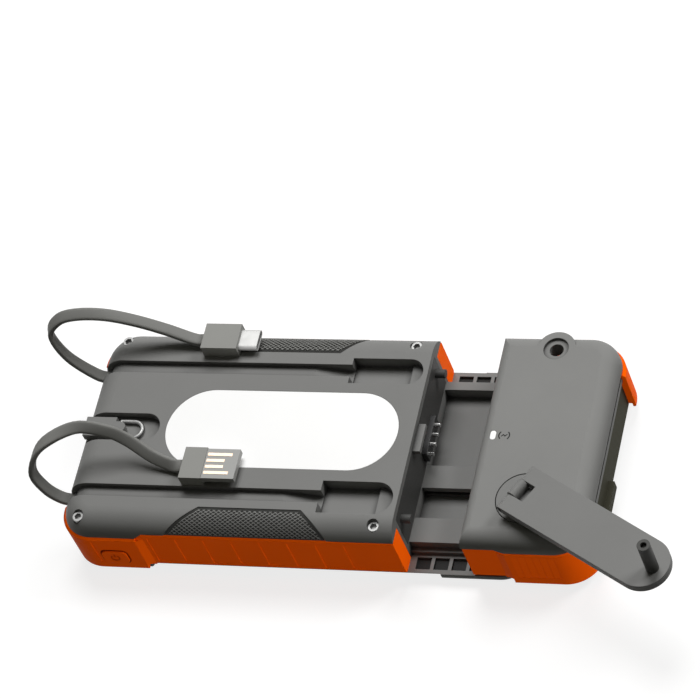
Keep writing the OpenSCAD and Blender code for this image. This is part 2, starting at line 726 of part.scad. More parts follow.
module dock_plate() color("DarkSlateGray") difference() {
    plate_block(px - plate_t + 0.05, px, fit);
    connector_block(px - 3, px + 1, fit);
    latch_bar(px - 5, px + 5, fit);
    pegs(px - 3, px + 6, fit / 2);
}

module lamp_lens() color("White") difference() {
    union() {
        translate([0, 0, roof_z]) linear_extrude(wall) stadium(lamp_x0, lamp_x1, lamp_w);
        translate([0, 0, roof_z - flange_t]) linear_extrude(flange_t)
            stadium(lamp_x0 - flange_w, lamp_x1 + flange_w, lamp_w + 2 * flange_w);
        translate([0, 0, lamp_board_z1]) linear_extrude(lamp_skirt) stadium(lamp_x0, lamp_x1, lamp_w);
    }
    translate([0, 0, lamp_board_z1 - 1]) linear_extrude(lamp_skirt + 1.5)
        stadium(lamp_x0 + 1.6, lamp_x1 - 1.6, lamp_w - 3.2);
}

module lamp_board() color("White") translate([0, 0, lamp_board_z1 - lamp_board_t])
    linear_extrude(lamp_board_t) stadium(lamp_x0, lamp_x1, lamp_w);

module lamp_leds() color("Gold") for (i = [0:5], s = [-1, 1])
    translate([(lamp_x0 + lamp_x1) / 2 + (i - 2.5) * led_pitch, s * led_y, lamp_board_z1 + led_t / 2])
        cube([led_l, led_w, led_t], center = true);

module bumper_far() color("OrangeRed") main_bumper();
module bumper_near() color("OrangeRed") difference() {
    mirror([0, 1, 0]) main_bumper();
    button_at(-half_w - 3, -half_w + 5, slip / 2);
    stem_at(-half_w, -tub_hw + 1, 3.4);
}
module main_bumper() difference() {
    bumper(x0, corner_l, total_l - module_l, bumper_t, bumper_z0, corner_pitch, [corner_r + 0.3]);
    for (p = screw_xy) {
        translate([p[0], abs(p[1]), 0]) cylinder(d = screw_d + 0.4, h = top);
        translate([p[0], abs(p[1]), 0]) cylinder(d = post_d + 2 * fit, h = post_z + fit);
    }
}

module grip_pad_far() color("DarkSlateGray") grip_pad();
module grip_pad_near() color("DarkSlateGray") mirror([0, 1, 0]) grip_pad();

module battery_cells() color("Silver") for (s = [0, 1]) mirror([0, s, 0])
    box([tub_x + battery_end, battery_gap / 2, bumper_z0],
        [px - board_l - 2, tub_in - battery_side, bumper_z0 + battery_t]);

module main_board() color("DarkGreen")
    box([px - board_l, -board_hw, board_z], [px - wall - 0.5, board_hw, board_z + board_t]);

// Coil, controller, connector block and capacitor
module board_parts() color("Black") {
    xb = px - board_l + 3;
    box([xb, 6 - board_hw, dock_z0], [xb + coil_w, 6 - board_hw + coil_w, dock_z0 + coil_w * 0.4]);
    box([xb + 2, -8, dock_z0], [xb + 2 + chip_w, chip_w - 8, dock_z0 + chip_w * 0.2]);
    box([xb, board_hw - 4 - block_w, dock_z0], [xb + block_w, board_hw - 4, dock_z0 + block_w * 0.4]);
    translate([xb + 4, 8, dock_z0]) cylinder(d = can_d, h = can_d * 0.5);
}

module dock_connector() color("Black") difference() {
    connector_block(px - 6, px + dock_out, 0);
    pins(px - 3, px + 5, 0);
}
module pins(xa, xb, gap) for (i = [0:3])
    translate([xa, pin_y0 + (i - 1.5) * pin_pitch, pin_z]) rotate([0, 90, 0])
        cylinder(d = pin_d + 2 * gap, h = xb - xa);
module dock_pins() color("Gold") pins(px - 3, px + dock_out + pin_out, 0);

module guide_pegs() color("DimGray") pegs(px - wall, px + peg_out, 0);

module cover_screws() color("Silver") for (p = screw_xy) translate([p[0], p[1], 0]) difference() {
    union() {
        translate([0, 0, 4]) cylinder(d = screw_d, h = top - 8);
        translate([0, 0, top - 4]) cylinder(d = head_d, h = 2.4);
    }
    translate([0, 0, top - 3]) cylinder(d = 2.6, h = 3, $fn = 6);
}

module cable_gland_near() color("Black") gland(near_y);
module cable_gland_far() color("Black") gland(far_y);
module gland(y) translate([0, y, exit_z]) {
    box([x0 + channel_d, -channel_w / 2 + fit, -1.8], [tub_x + wall, channel_w / 2 - fit, 1.8]);
    box([tub_x + wall, -channel_w / 2 - 1, -2.6], [tub_x + wall + 1.2, channel_w / 2 + 1, 2.6]);
}

module cable_a() color("DimGray") flat_cable(route_a);
module cable_c() color("DimGray") flat_cable(route_c);

module plug_a_body() color("DimGray") translate([plug_a[0], plug_a[1], top])
    box([0, -plug_a_w / 2, 0], [plug_a_l, plug_a_w / 2, plug_a_t]);
module plug_a_blade() color("DimGray") translate([plug_a[0] + plug_a_l, plug_a[1], top + blade_z])
    box([0, -blade_w / 2, 0], [blade_l, blade_w / 2, blade_t]);
// The outer two contacts reach further out
module plug_a_contacts() color("Gold") for (i = [0:3])
    translate([plug_a[0] + plug_a_l, plug_a[1] + (i - 1.5) * contact_pitch, top + blade_z + blade_t])
        box([0.6, -0.6, 0], [i == 0 || i == 3 ? 9.7 : 7.3, 0.6, 0.1]);
module plug_c_body() color("DimGray") translate([plug_c[0], plug_c[1], top])
    box([0, -plug_c_w / 2, 0], [plug_c_l, plug_c_w / 2, plug_c_t]);
module plug_c_shell() color("Silver")
    translate([plug_c[0] + plug_c_l, plug_c[1], top + plug_c_t / 2]) rotate([90, 0, 90]) difference() {
        linear_extrude(shell_l) stadium(-shell_w / 2, shell_w / 2, shell_t);
        translate([0, 0, 1]) linear_extrude(shell_l)
            stadium(0.4 - shell_w / 2, shell_w / 2 - 0.4, shell_t - 0.7);
    }

module loop_block() color("Gray") difference() {
    union() {
        box([x0 + 1, loop_y - tongue_w / 2, top - slot_d],
            [x0 + loop_x - wire_d / 2 - 0.5, loop_y + tongue_w / 2, top - 0.3]);
        box([x0 + loop_x - 3, loop_y - nose_w / 2, top - slot_d],
            [x0 + tongue_l - nose_w / 2, loop_y + nose_w / 2, top - 0.3]);
        translate([x0 + tongue_l - nose_w / 2, loop_y, top - slot_d])
            cylinder(d = nose_w, h = slot_d - 0.3);
    }
    translate([x0 + loop_x, loop_y - 10, loop_z]) rotate([-90, 0, 0]) cylinder(d = wire_d + 0.16, h = 20);
}

module hanging_loop() color("Silver") translate([x0 + loop_x, loop_y, loop_z]) {
    for (s = [-1, 1]) {
        translate([0, s * wire_y, 0]) rotate([0, 90, 0]) cylinder(d = wire_d, h = loop_l - wire_y);
        translate([0, s * wire_y, 0]) sphere(d = wire_d);
        translate([0, s * wire_y, 0]) rotate([s * 90, 0, 0]) cylinder(d = wire_d, h = wire_y - 0.6);
    }
    translate([loop_l - wire_y, 0, 0]) rotate(-90) rotate_extrude(angle = 180)
        translate([wire_y, 0]) circle(d = wire_d);
}

module button_board() color("DarkGreen") {
    y = switch_y + 2.6;
    box([x0 + button_x - 8, y, bumper_z0], [x0 + button_x + 8, y + 1.2, exit_z - 3.2]);
    box([x0 + button_x - 3, switch_y, button_z - 3], [x0 + button_x + 3, y, button_z + 3]);
}

module power_button() color("OrangeRed") {
    button_at(-half_w - raise - 0.6, -half_w + 3.6, 0);
    stem_at(-half_w + 3.6, switch_y - button_travel - 0.1, 3);
}

// Module pieces are drawn docked and shown pulled out
module pulled() translate([module_out, 0, 0]) children();

// Plan of the module inside its bumpers, widened by grow
module module_plan(grow) intersection() {
    round_rect(mx0 - 20, m_x1 + grow, m_hw + grow, corner_r - bumper_tm - fit + grow);
    translate([mx0 - grow, -half_w]) square([module_l, body_w]);
}

module module_shell() color("Gray") pulled() difference() {
    union() {
        difference() {
            intersection() {
                rolled_block(px - 30, x1, module_hw, bumper_zc, top, back_rp, module_roll_r);
                along_y(-half_w - 2, half_w + 2) module_side();
            }
            waist_zone(px + module_waist + step_l, px - 1, -1);
        }
        translate([0, 0, plate_z0]) linear_extrude(bumper_z1 - plate_z0) module_plan(0);
        box([mx0 + 8, -end_hw, plate_z1 + 4], [panel_x0, end_hw, bumper_zc]);
        box([panel_x0 - 1, -end_hw, skirt_z0], [x1 - 0.2, end_hw, skirt_z1]);
        // Round boss of the stow hole
        translate([stow_c[0], stow_c[1], bumper_zc - 0.5]) cylinder(r = boss_r, h = top - bumper_zc + 0.5);
    }
    difference() {
        union() {
            translate([0, 0, plate_z0 - 1]) linear_extrude(roof_z - plate_z0 + 1) module_plan(-wall);
            box([m_x1 - 8, -end_hw + wall, plate_z0 - 1], [panel_x0 + 1, end_hw - wall, bumper_zc - wall]);
            box([mx0 + wall, -end_hw - 2, plate_z0 - 1], [panel_x0 + 1, end_hw + 2, plate_z1]);
        }
        // Hub seat, screw bosses and stow socket stay
        translate([hub_c[0], hub_c[1], seat_z0]) cylinder(r = hub_r + 1.8, h = 10);
        for (p = module_screw_xy) translate([p[0], p[1], plate_z1]) cylinder(d = 5, h = top);
        translate([stow_c[0], stow_c[1], top - stow_depth - 1.5]) cylinder(r = stow_d / 2 + 1.4, h = top);
    }
    // Hub seat
    translate([hub_c[0], hub_c[1], hub_z0]) cylinder(r = hub_r + 0.35, h = 10);
    translate([hub_c[0], hub_c[1], 0]) cylinder(r = shaft_r + 1.2, h = top);
    // Stow hole
    translate([stow_c[0], stow_c[1], top - stow_depth]) cylinder(d = stow_d, h = top);
    translate([stow_c[0], stow_c[1], top - 1]) cylinder(d = 9, h = 4);
    for (p = module_screw_xy) translate([p[0], p[1], plate_z0]) cylinder(d = 2, h = 10);
    // Openings for the dock, the latch bar and the pegs
    connector_block(mx0 - 1, mx0 + wall + 1, slip);
    latch_bar(mx0 - 1, mx0 + wall + 1, slip);
    pegs(mx0 - 1, mx0 + 4, slip);
    // Indicator window
    translate([mx0 + 4.5, 0, roof_z - 1]) linear_extrude(wall + 2) rotate(90) stadium(-1.9, 1.9, 2.2);
    // Groove over the end panel
    box([x1 - 1.6, -end_hw, skirt_z1], [x1 + 1, end_hw, bumper_zc + 0.4]);
}

// Side view of the module's rolled top: small radius at the dock side
module module_side() {
    r = 3.5;
    translate([mx0 + r, 0]) square([module_l + 5, top + 1]);
    translate([mx0, 0]) square([module_l + 5, top - r]);
    translate([mx0 + r, top - r]) circle(r);
}

module module_base() color("DimGray") pulled() difference() {
    union() {
        translate([0, 0, plate_z0]) linear_extrude(plate_z1 - plate_z0) module_plan(-wall - fit);
        box([mx0 + wall + fit, -end_hw + wall, plate_z0], [panel_x0, end_hw - wall, plate_z1]);
        // Runners in the tray, with lips under the rib's head
        for (y = [rail_near[1] + slip, rail_rib[0] - slip - runner_w,
            rail_rib[1] + slip, rail_far[0] - slip - runner_w])
            box([mx0 + wall + fit, y, bumper_z0 + slip], [rail_x1, y + runner_w, plate_z0 + 0.5]);
        for (y = [[rail_rib[0] - slip - 1, rail_rib[0] + 0.8], [rail_rib[1] - 0.8, rail_rib[1] + slip + 1]])
            box([mx0 + wall + fit, y[0], bumper_z0 + 1.1], [rail_x1, y[1], bumper_z0 + 2.3]);
    }
    translate([idler_c[0], idler_c[1], plate_z0 - 1]) cylinder(r = axle_r, h = 5);
    for (p = module_screw_xy) {
        translate([p[0], p[1], 0]) cylinder(d = 2.4, h = top);
        translate([p[0], p[1], 0]) cylinder(d = 4.2, h = plate_z0 + 0.9);
    }
}

module module_bumper_far() color("OrangeRed") pulled() module_bumper();
module module_bumper_near() color("OrangeRed") pulled() mirror([0, 1, 0]) module_bumper();
module module_bumper() difference() {
    translate([x1, 0, 0]) mirror([1, 0, 0])
        bumper(0, module_corner, module_l - slip, bumper_tm, bumper_z0 + slip, corner_pitch,
            [corner_r + 0.3 : corner_pitch : module_corner - corner_pitch]);
    translate([stow_c[0], abs(stow_c[1]), 0]) cylinder(r = stow_d / 2 + 1.6, h = top);
    translate([stow_c[0], abs(stow_c[1]), bumper_zc - 0.5 - fit]) cylinder(r = boss_r + fit, h = top);
}

module end_panel() color("DimGray") pulled() {
    box([panel_x0, -end_hw, bumper_z0 + slip], [x1 - panel_sunk, end_hw, skirt_z0]);
    box([x1 - panel_sunk - 0.5, -18, bumper_z0 + slip + 0.6], [x1 + 0.9, -5, bumper_z0 + slip + 4.4]);
}

module indicator_lens() color("White") pulled() translate([mx0 + 4.5, 0, roof_z]) linear_extrude(wall)
    rotate(90) stadium(-1.9 + fit, 1.9 - fit, 2.2 - 2 * fit);

module dock_receptacle() color("Black") pulled() difference() {
    box([mx0 + wall, dock_y - dock_w / 2 - 1, plate_z1 + 1.2],
        [mx0 + wall + 4, dock_y + dock_w / 2 + 1, dock_z1 + 1]);
    pins(px, px + 20, slip);
}
module dock_contacts() color("Gold") pulled()
    pins(px + dock_out + pin_out + 0.1, px + dock_out + pin_out + 1.3, slip);

module rectifier_board() color("DarkGreen") pulled()
    box([mx0 + wall + 0.3, dock_y - dock_w, plate_z1], [mx0 + wall + 5, rectifier_y1, plate_z1 + 1.2]);

module generator_case() color("Silver") pulled() translate([rotor_c[0], rotor_c[1], plate_z1])
    difference() {
        cylinder(r = can_r, h = can_z1 - plate_z1);
        translate([0, 0, 1]) cylinder(r = can_r - 1, h = can_z1 - plate_z1 - 2);
        translate([0, 0, -1]) cylinder(r = rotor_r + 0.05, h = can_z1);
    }

module crank_bush() color("Goldenrod") pulled() translate([hub_c[0], hub_c[1], seat_z0]) difference() {
    cylinder(r = shaft_r + 1.2, h = hub_z0 - seat_z0);
    translate([0, 0, -1]) cylinder(r = shaft_r + 0.05, h = 9);
}

module idler_axle() color("Silver") pulled() translate([idler_c[0], idler_c[1], plate_z0]) {
    cylinder(r = axle_r, h = drive_z + gear_t - plate_z0);
    translate([0, 0, plate_z1 - plate_z0]) cylinder(r = axle_r + 0.8, h = wheel_z - plate_z1 - 0.05);
}

module module_screws() color("Silver") pulled() for (p = module_screw_xy)
    translate([p[0], p[1], plate_z0]) {
        translate([0, 0, 0.1]) cylinder(d = 3.8, h = 0.8);
        translate([0, 0, 0.5]) cylinder(d = 2, h = 9);
    }

// Crank pieces: u runs along the arm from the hub centre
module at_hub() pulled() translate([hub_c[0], hub_c[1], 0]) rotate(arm_angle) children();

module hinge_rod(d, w) translate([-hinge_back, w / 2, hinge_z]) rotate([90, 0, 0]) cylinder(d = d, h = w);

module crank_hub() color("DimGray") at_hub() difference() {
    union() {
        translate([0, 0, hub_z0 + 0.05]) cylinder(r = hub_r, h = top - hub_z0 - 0.05);
        box([-hinge_back - 2, -knuckle_w / 2, top - 0.5], [-hinge_back + 2, knuckle_w / 2, hinge_z]);
        hinge_rod(4, knuckle_w);
        // Stop that the open arm rests on
        box([-hinge_back, -knuckle_w / 2, top - 0.5],
            [notch_l + 2.2, knuckle_w / 2, hinge_z - arm_t / 2 - 0.02]);
    }
    hinge_rod(hinge_d + 0.1, 40);
}

module crank_shaft() color("Silver") at_hub() translate([0, 0, clip_z])
    cylinder(r = shaft_r, h = hub_z0 - clip_z);
module drive_gear() color("WhiteSmoke") pulled() translate([hub_c[0], hub_c[1], drive_z]) rotate(90)
    gear(drive_n, gear_t, shaft_r + 0.02);
module shaft_clip() color("Silver") at_hub() translate([0, 0, clip_z]) difference() {
    cylinder(r = shaft_r + 1.8, h = drive_z - clip_z);
    translate([0, 0, -1]) cylinder(r = shaft_r, h = 3);
}

module idler_gear() color("WhiteSmoke") pulled() translate([idler_c[0], idler_c[1], 0]) difference() {
    union() {
        translate([0, 0, drive_z]) rotate(270 + 180 / pinion_n) gear_blank(pinion_n, gear_t);
        translate([0, 0, wheel_z]) rotate(90) gear_blank(idler_n, gear_t);
        translate([0, 0, wheel_z + gear_t - 0.5]) cylinder(r = 1.7, h = drive_z - wheel_z - gear_t + 1);
    }
    translate([0, 0, wheel_z - 1]) cylinder(r = axle_r + 0.05, h = 9);
}

module generator_rotor() color("DarkGray") pulled() translate([rotor_c[0], rotor_c[1], plate_z1]) {
    translate([0, 0, 1.5]) cylinder(r = can_r - 2, h = can_z1 - plate_z1 - 3);
    translate([0, 0, 0.3]) cylinder(r = rotor_r, h = wheel_z + gear_t - plate_z1);
}
module rotor_pinion() color("Goldenrod") pulled() translate([rotor_c[0], rotor_c[1], wheel_z])
    rotate(270 + 180 / pinion_n) gear(pinion_n, gear_t, rotor_r);

module crank_arm() color("DimGray") at_hub() difference() {
    union() {
        translate([0, 0, hinge_z - arm_t / 2]) linear_extrude(arm_t) {
            translate([-hinge_back, -arm_w / 2]) square([pin_r - handle_out, arm_w]);
            translate([handle_x - handle_out, 0]) circle(d = arm_w);
        }
        hinge_rod(arm_t, arm_w);
    }
    box([-20, -knuckle_w / 2 - 0.25, hinge_z - 9], [notch_l, knuckle_w / 2 + 0.25, hinge_z + 9]);
    hinge_rod(hinge_d, 40);
    translate([handle_x, 0, 0]) cylinder(d = handle_axle_d, h = 99);
}
module hinge_pin() color("Silver") at_hub() hinge_rod(hinge_d, arm_w - 1);
module handle_axle() color("Silver") at_hub() translate([handle_x, 0, hinge_z - arm_t / 2])
    cylinder(d = handle_axle_d, h = arm_t + handle_h - 1.4);
module handle_sleeve() color("DimGray") at_hub() translate([handle_x, 0, hinge_z + arm_t / 2 + 0.1])
    difference() {
        cylinder(d = handle_d, h = handle_h);
        translate([0, 0, -1]) cylinder(d = handle_axle_d + 0.15, h = 99);
    }

front_shell();
solar_panel();
solar_cells();
solar_film();
back_cover();
lamp_lens();
lamp_board();
lamp_leds();
bumper_near();
bumper_far();
grip_pad_near();
grip_pad_far();
battery_cells();
main_board();
board_parts();
dock_plate();
dock_connector();
dock_pins();
guide_pegs();
cover_screws();
cable_gland_near();
cable_gland_far();
cable_a();
cable_c();
plug_a_body();
plug_a_blade();
plug_a_contacts();
plug_c_body();
plug_c_shell();
loop_block();
button_board();
power_button();
hanging_loop();
module_shell();
module_base();
module_bumper_near();
module_bumper_far();
end_panel();
indicator_lens();
dock_receptacle();
dock_contacts();
rectifier_board();
generator_case();
crank_bush();
idler_axle();
module_screws();
crank_hub();
crank_shaft();
drive_gear();
shaft_clip();
idler_gear();
generator_rotor();
rotor_pinion();
crank_arm();
hinge_pin();
handle_axle();
handle_sleeve();
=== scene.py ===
"""Dresses a solar power bank with a slide-off hand-crank module.

The CAD nodes get their finishes here, and the fine pieces are added: grip nets, cable jackets, small marks
and the dark pieces of painted shade round the button and in the tray.
"""

import math

import bmesh
import bpy
from mathutils import Matrix, Quaternion, Vector


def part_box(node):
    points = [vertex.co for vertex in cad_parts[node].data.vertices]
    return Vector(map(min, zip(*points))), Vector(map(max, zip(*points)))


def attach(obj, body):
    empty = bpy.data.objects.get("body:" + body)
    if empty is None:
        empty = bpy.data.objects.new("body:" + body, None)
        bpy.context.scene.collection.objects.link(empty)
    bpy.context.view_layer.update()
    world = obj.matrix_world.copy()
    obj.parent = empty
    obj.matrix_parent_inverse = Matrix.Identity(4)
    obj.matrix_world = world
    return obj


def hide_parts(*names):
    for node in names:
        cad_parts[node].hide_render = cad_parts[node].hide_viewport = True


bl_info = {
    "name": "Solar power bank",
    "version": (1, 0, 0),
    "blender": (4, 5, 0),
    "location": "3D View > Sidebar > Power bank",
    "description": "Finishes and fine pieces of a solar power bank with a hand crank",
    "category": "Object",
}

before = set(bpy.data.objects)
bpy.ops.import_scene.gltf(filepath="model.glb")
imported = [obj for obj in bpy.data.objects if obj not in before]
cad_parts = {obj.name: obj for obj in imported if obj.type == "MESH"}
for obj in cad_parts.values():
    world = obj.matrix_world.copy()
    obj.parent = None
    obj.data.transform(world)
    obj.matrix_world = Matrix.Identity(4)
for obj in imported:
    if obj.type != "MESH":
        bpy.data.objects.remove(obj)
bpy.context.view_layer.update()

MM = 0.001

# Distance under which the points of a fine piece are joined
MERGE_DISTANCE = 1e-7

# Routes of the two cables, in millimetres, as they lie in the part
ROUTE_A = [
    (-82, -26.9, 21), (-86.7, -26.9, 22.3), (-91.3, -26.5, 28), (-94.2, -24, 35.5),
    (-90, -18, 42.2), (-79, -10.8, 43), (-68, -10, 40), (-61, -11, 36.2),
    (-52, -15, 32.5), (-43.8, -17.5, 30.8), (-39.8, -17.5, 30.8),
]
ROUTE_C = [
    (-82, 25.4, 21), (-86.9, 25.4, 22.8), (-96.5, 28, 30.3), (-101.3, 32, 38.5),
    (-97.5, 35, 43.2), (-90.5, 36.8, 44), (-80.5, 37.8, 42.6), (-70, 38, 39),
    (-59, 37.4, 34.5), (-48.7, 35.8, 31), (-44.7, 35.8, 31),
]
# How far the cables' faces turn towards the front along their length, as (share, degrees)
TWIST_A = [(0, 0), (0.34, 0), (0.6, 45), (0.88, 45), (0.98, 0), (1, 0)]
TWIST_C = [(0, 0), (0.3, 20), (0.5, 20), (0.75, 0), (1, 0)]

# CAD nodes that share a finish
BODY_SHELLS = ("front_shell", "back_cover", "loop_block", "crank_hub", "crank_arm")
MODULE_SHELLS = ("module_shell", "module_base")
ORANGE_PIECES = (
    "bumper_near", "bumper_far", "module_bumper_near", "module_bumper_far", "power_button",
)
GRIP_PADS = ("grip_pad_near", "grip_pad_far")
PLUG_BODIES = ("plug_a_body", "plug_c_body")
DOCK_FACE = ("dock_plate", "guide_pegs")
HANDLE = ("handle_sleeve", "handle_axle")
LENSES = ("lamp_lens", "indicator_lens")
BLACK_PIECES = (
    "board_parts", "dock_connector", "dock_receptacle", "cable_gland_near", "cable_gland_far",
)
STEEL_PIECES = (
    "dock_pins", "generator_case", "idler_axle", "crank_shaft", "shaft_clip", "generator_rotor", "hinge_pin",
)
DULL_STEEL = ("cover_screws", "module_screws", "hanging_loop")
GOLD_PIECES = ("plug_a_contacts", "dock_contacts")
BRASS_PIECES = ("crank_bush", "rotor_pinion")
GEARS = ("drive_gear", "idler_gear")
BOARDS = ("main_board", "button_board", "rectifier_board")


def colour_prop(name, description, default):
    return bpy.props.FloatVectorProperty(
        name=name, description=description, default=default, subtype="COLOR", size=3, min=0.0, max=1.0)


def length_prop(name, description, default):
    return bpy.props.FloatProperty(
        name=name, description=description, default=default, unit="LENGTH", subtype="DISTANCE",
        precision=5)


class PowerBankColours(bpy.types.PropertyGroup):
    """Colours of the finishes."""

    shell: colour_prop("Shell", "Grey of the main body's shells and the crank", (0.213, 0.213, 0.208))
    module: colour_prop("Module", "Grey of the crank module's shell", (0.24, 0.24, 0.234))
    bumper: colour_prop("Bumper", "Orange of the soft bumpers and the button", (0.82, 0.096, 0.0006))
    grip: colour_prop("Grip", "Rubber of the grip pads", (0.014, 0.014, 0.012))
    ridge: colour_prop("Ridge", "Raised net on the grip pads", (0.21, 0.21, 0.2))
    lens: colour_prop("Lens", "Frosted lamp and indicator windows", (0.93, 0.93, 0.93))
    # Painted shade: the end panel is the shell's grey, painted darker and warmer as it looks in shade
    end_panel: colour_prop("End panel", "Dark panel on the crank end", (0.08, 0.078, 0.056))
    cable: colour_prop("Cable", "Jacket of the flat cables", (0.2, 0.2, 0.19))
    plug: colour_prop("Plug", "Moulded bodies of the plugs", (0.3, 0.3, 0.285))
    blade: colour_prop("Blade", "Blade of the USB-A plug", (0.33, 0.33, 0.32))
    cell: colour_prop("Cell", "Solar cells", (0.045, 0.036, 0.05))
    finger: colour_prop("Finger", "Printed lines on the solar cells", (0.76, 0.7, 0.67))
    steel: colour_prop("Steel", "Bright metal", (0.5, 0.5, 0.49))
    dull_steel: colour_prop("Dull steel", "Screws and hanging loop", (0.24, 0.24, 0.235))
    # Painted shade: the parting face is painted darker than the shell grey to stand for the shade on it
    dock_face: colour_prop("Dock face", "Plate and pegs of the parting face", (0.055, 0.055, 0.053))
    gold: colour_prop("Gold", "Plated contacts", (0.6, 0.46, 0.35))
    # Painted shade: the handle is the crank's grey, painted darker as it looks in shade
    handle: colour_prop("Handle", "Dark turning handle", (0.07, 0.07, 0.066))


class PowerBankSizes(bpy.types.PropertyGroup):
    """Sizes of the fine pieces."""

    edge: length_prop("Edge", "Radius of the soft look along moulded edges", 0.3 * MM)
    cable_width: length_prop("Cable width", "Width of the flat cables", 4.6 * MM)
    cable_thickness: length_prop("Cable thickness", "Thickness of the flat cables", 2.1 * MM)
    grip_pitch: length_prop("Grip pitch", "Length of one diamond of the grip pads", 1.9 * MM)
    grip_line: length_prop("Grip line", "Width of the net's lines", 0.3 * MM)
    grip_rise: length_prop("Grip rise", "Height of the net above the pad", 0.22 * MM)
    grip_rim: length_prop("Grip rim", "Plain rim of the pads round the net", 1.0 * MM)
    mark_line: length_prop("Mark line", "Stroke width of the small marks", 0.4 * MM)


def colours():
    return bpy.context.scene.power_bank_colours


def sizes():
    return bpy.context.scene.power_bank_sizes


# Material helpers


def new_material(name):
    """A new material, its node tree and its shader."""
    material = bpy.data.materials.new(name)
    material.use_nodes = True
    tree = material.node_tree
    return material, tree, tree.nodes["Principled BSDF"]


def object_place(tree):
    return tree.nodes.new("ShaderNodeTexCoord").outputs["Object"]


def noise(tree, place, scale, detail):
    """Noise with about as many waves per metre as its scale."""
    node = tree.nodes.new("ShaderNodeTexNoise")
    node.inputs["Scale"].default_value = scale
    node.inputs["Detail"].default_value = detail
    tree.links.new(place, node.inputs["Vector"])
    return node.outputs["Fac"]


def between(tree, factor, low, high, span=(0.25, 0.75)):
    """A number that goes from low to high as the factor goes through its span."""
    node = tree.nodes.new("ShaderNodeMapRange")
    node.inputs["From Min"].default_value = span[0]
    node.inputs["From Max"].default_value = span[1]
    node.inputs["To Min"].default_value = low
    node.inputs["To Max"].default_value = high
    tree.links.new(factor, node.inputs["Value"])
    return node.outputs["Result"]


def fill(tree, socket, value):
    """Links a socket to another one, or sets it to a number."""
    if isinstance(value, bpy.types.NodeSocket):
        tree.links.new(value, socket)
    else:
        socket.default_value = value


def blend_colour(tree, factor, low, high):
    """A colour that follows the factor from low to high; each is a colour or a socket."""
    node = tree.nodes.new("ShaderNodeMix")
    node.data_type = "RGBA"
    tree.links.new(factor, node.inputs[0])
    for value, socket in ((low, node.inputs[6]), (high, node.inputs[7])):
        if not isinstance(value, bpy.types.NodeSocket):
            value = (*value, 1.0)
        fill(tree, socket, value)
    return node.outputs[2]


def shade(colour, amount):
    return [min(1.0, part * amount) for part in colour]


def two_shades(tree, factor, colour, dark, light):
    """The colour, from its dark share to its light share as the factor goes up."""
    return blend_colour(tree, factor, shade(colour, dark), shade(colour, light))


def soft_edges(tree, radius):
    node = tree.nodes.new("ShaderNodeBevel")
    node.samples = 4
    node.inputs["Radius"].default_value = radius
    return node.outputs["Normal"]


def relief(tree, height, strength, distance, normal=None):
    node = tree.nodes.new("ShaderNodeBump")
    node.inputs["Strength"].default_value = strength
    node.inputs["Distance"].default_value = distance
    tree.links.new(height, node.inputs["Height"])
    if normal is not None:
        tree.links.new(normal, node.inputs["Normal"])
    return node.outputs["Normal"]


def math_node(tree, operation, first, second=None):
    """The result of one operation on sockets or numbers."""
    node = tree.nodes.new("ShaderNodeMath")
    node.operation = operation
    fill(tree, node.inputs[0], first)
    if second is not None:
        fill(tree, node.inputs[1], second)
    return node.outputs["Value"]


def mix_shaders(tree, factor, low, high):
    """The low shader where the factor is 0 and the high one where it is 1."""
    node = tree.nodes.new("ShaderNodeMixShader")
    tree.links.new(factor, node.inputs[0])
    tree.links.new(low, node.inputs[1])
    tree.links.new(high, node.inputs[2])
    return node.outputs[0]


def painted_corner_shade(tree, reach, dark, light):
    """Painted shade: the light colour on open faces, going over to the dark one deep in the piece's own
    corners and holes, where shade falls.
    """
    node = tree.nodes.new("ShaderNodeAmbientOcclusion")
    node.samples = 8
    node.only_local = True
    node.inputs["Distance"].default_value = reach
    openness = between(tree, node.outputs["AO"], 0.0, 1.0, span=(0.3, 0.97))
    return blend_colour(tree, openness, dark, light)


# Finishes


def moulded(name, colour, roughness, grain, depth, edge, gloss=0.5, corner_shade_reach=None):
    """Moulded plastic or rubber: a fine even grain, slightly uneven gloss and colour, soft edges, and
    painted shade in its own corners and holes where a reach for it is given.
    """
    material, tree, shader = new_material(name)
    place = object_place(tree)
    cloud = noise(tree, place, scale=45.0, detail=3.0)
    grit = noise(tree, place, scale=grain, detail=3.0)
    colour_out = two_shades(tree, cloud, colour, dark=0.93, light=1.06)
    # Painted shade: the colour darkens deep in the piece's own corners and holes
    if corner_shade_reach is not None:
        colour_out = painted_corner_shade(tree, corner_shade_reach, dark=shade(colour, 0.1), light=colour_out)
    uneven = between(tree, grit, low=roughness - 0.05, high=roughness + 0.06)
    normal = relief(tree, grit, strength=0.35, distance=depth, normal=soft_edges(tree, edge))
    tree.links.new(colour_out, shader.inputs["Base Color"])
    tree.links.new(uneven, shader.inputs["Roughness"])
    tree.links.new(normal, shader.inputs["Normal"])
    shader.inputs["Specular IOR Level"].default_value = gloss
    return material


def metal(name, colour, roughness, edge):
    """Drawn or turned metal: faint streaks in gloss and tone."""
    material, tree, shader = new_material(name)
    place = object_place(tree)
    cloud = noise(tree, place, scale=300.0, detail=4.0)
    streak = noise(tree, place, scale=2600.0, detail=2.0)
    colour_out = two_shades(tree, cloud, colour, dark=0.94, light=1.05)
    uneven = between(tree, cloud, low=roughness - 0.06, high=roughness + 0.08)
    normal = relief(tree, streak, strength=0.08, distance=0.005 * MM, normal=soft_edges(tree, edge))
    tree.links.new(colour_out, shader.inputs["Base Color"])
    tree.links.new(uneven, shader.inputs["Roughness"])
    tree.links.new(normal, shader.inputs["Normal"])
    shader.inputs["Metallic"].default_value = 1.0
    return material


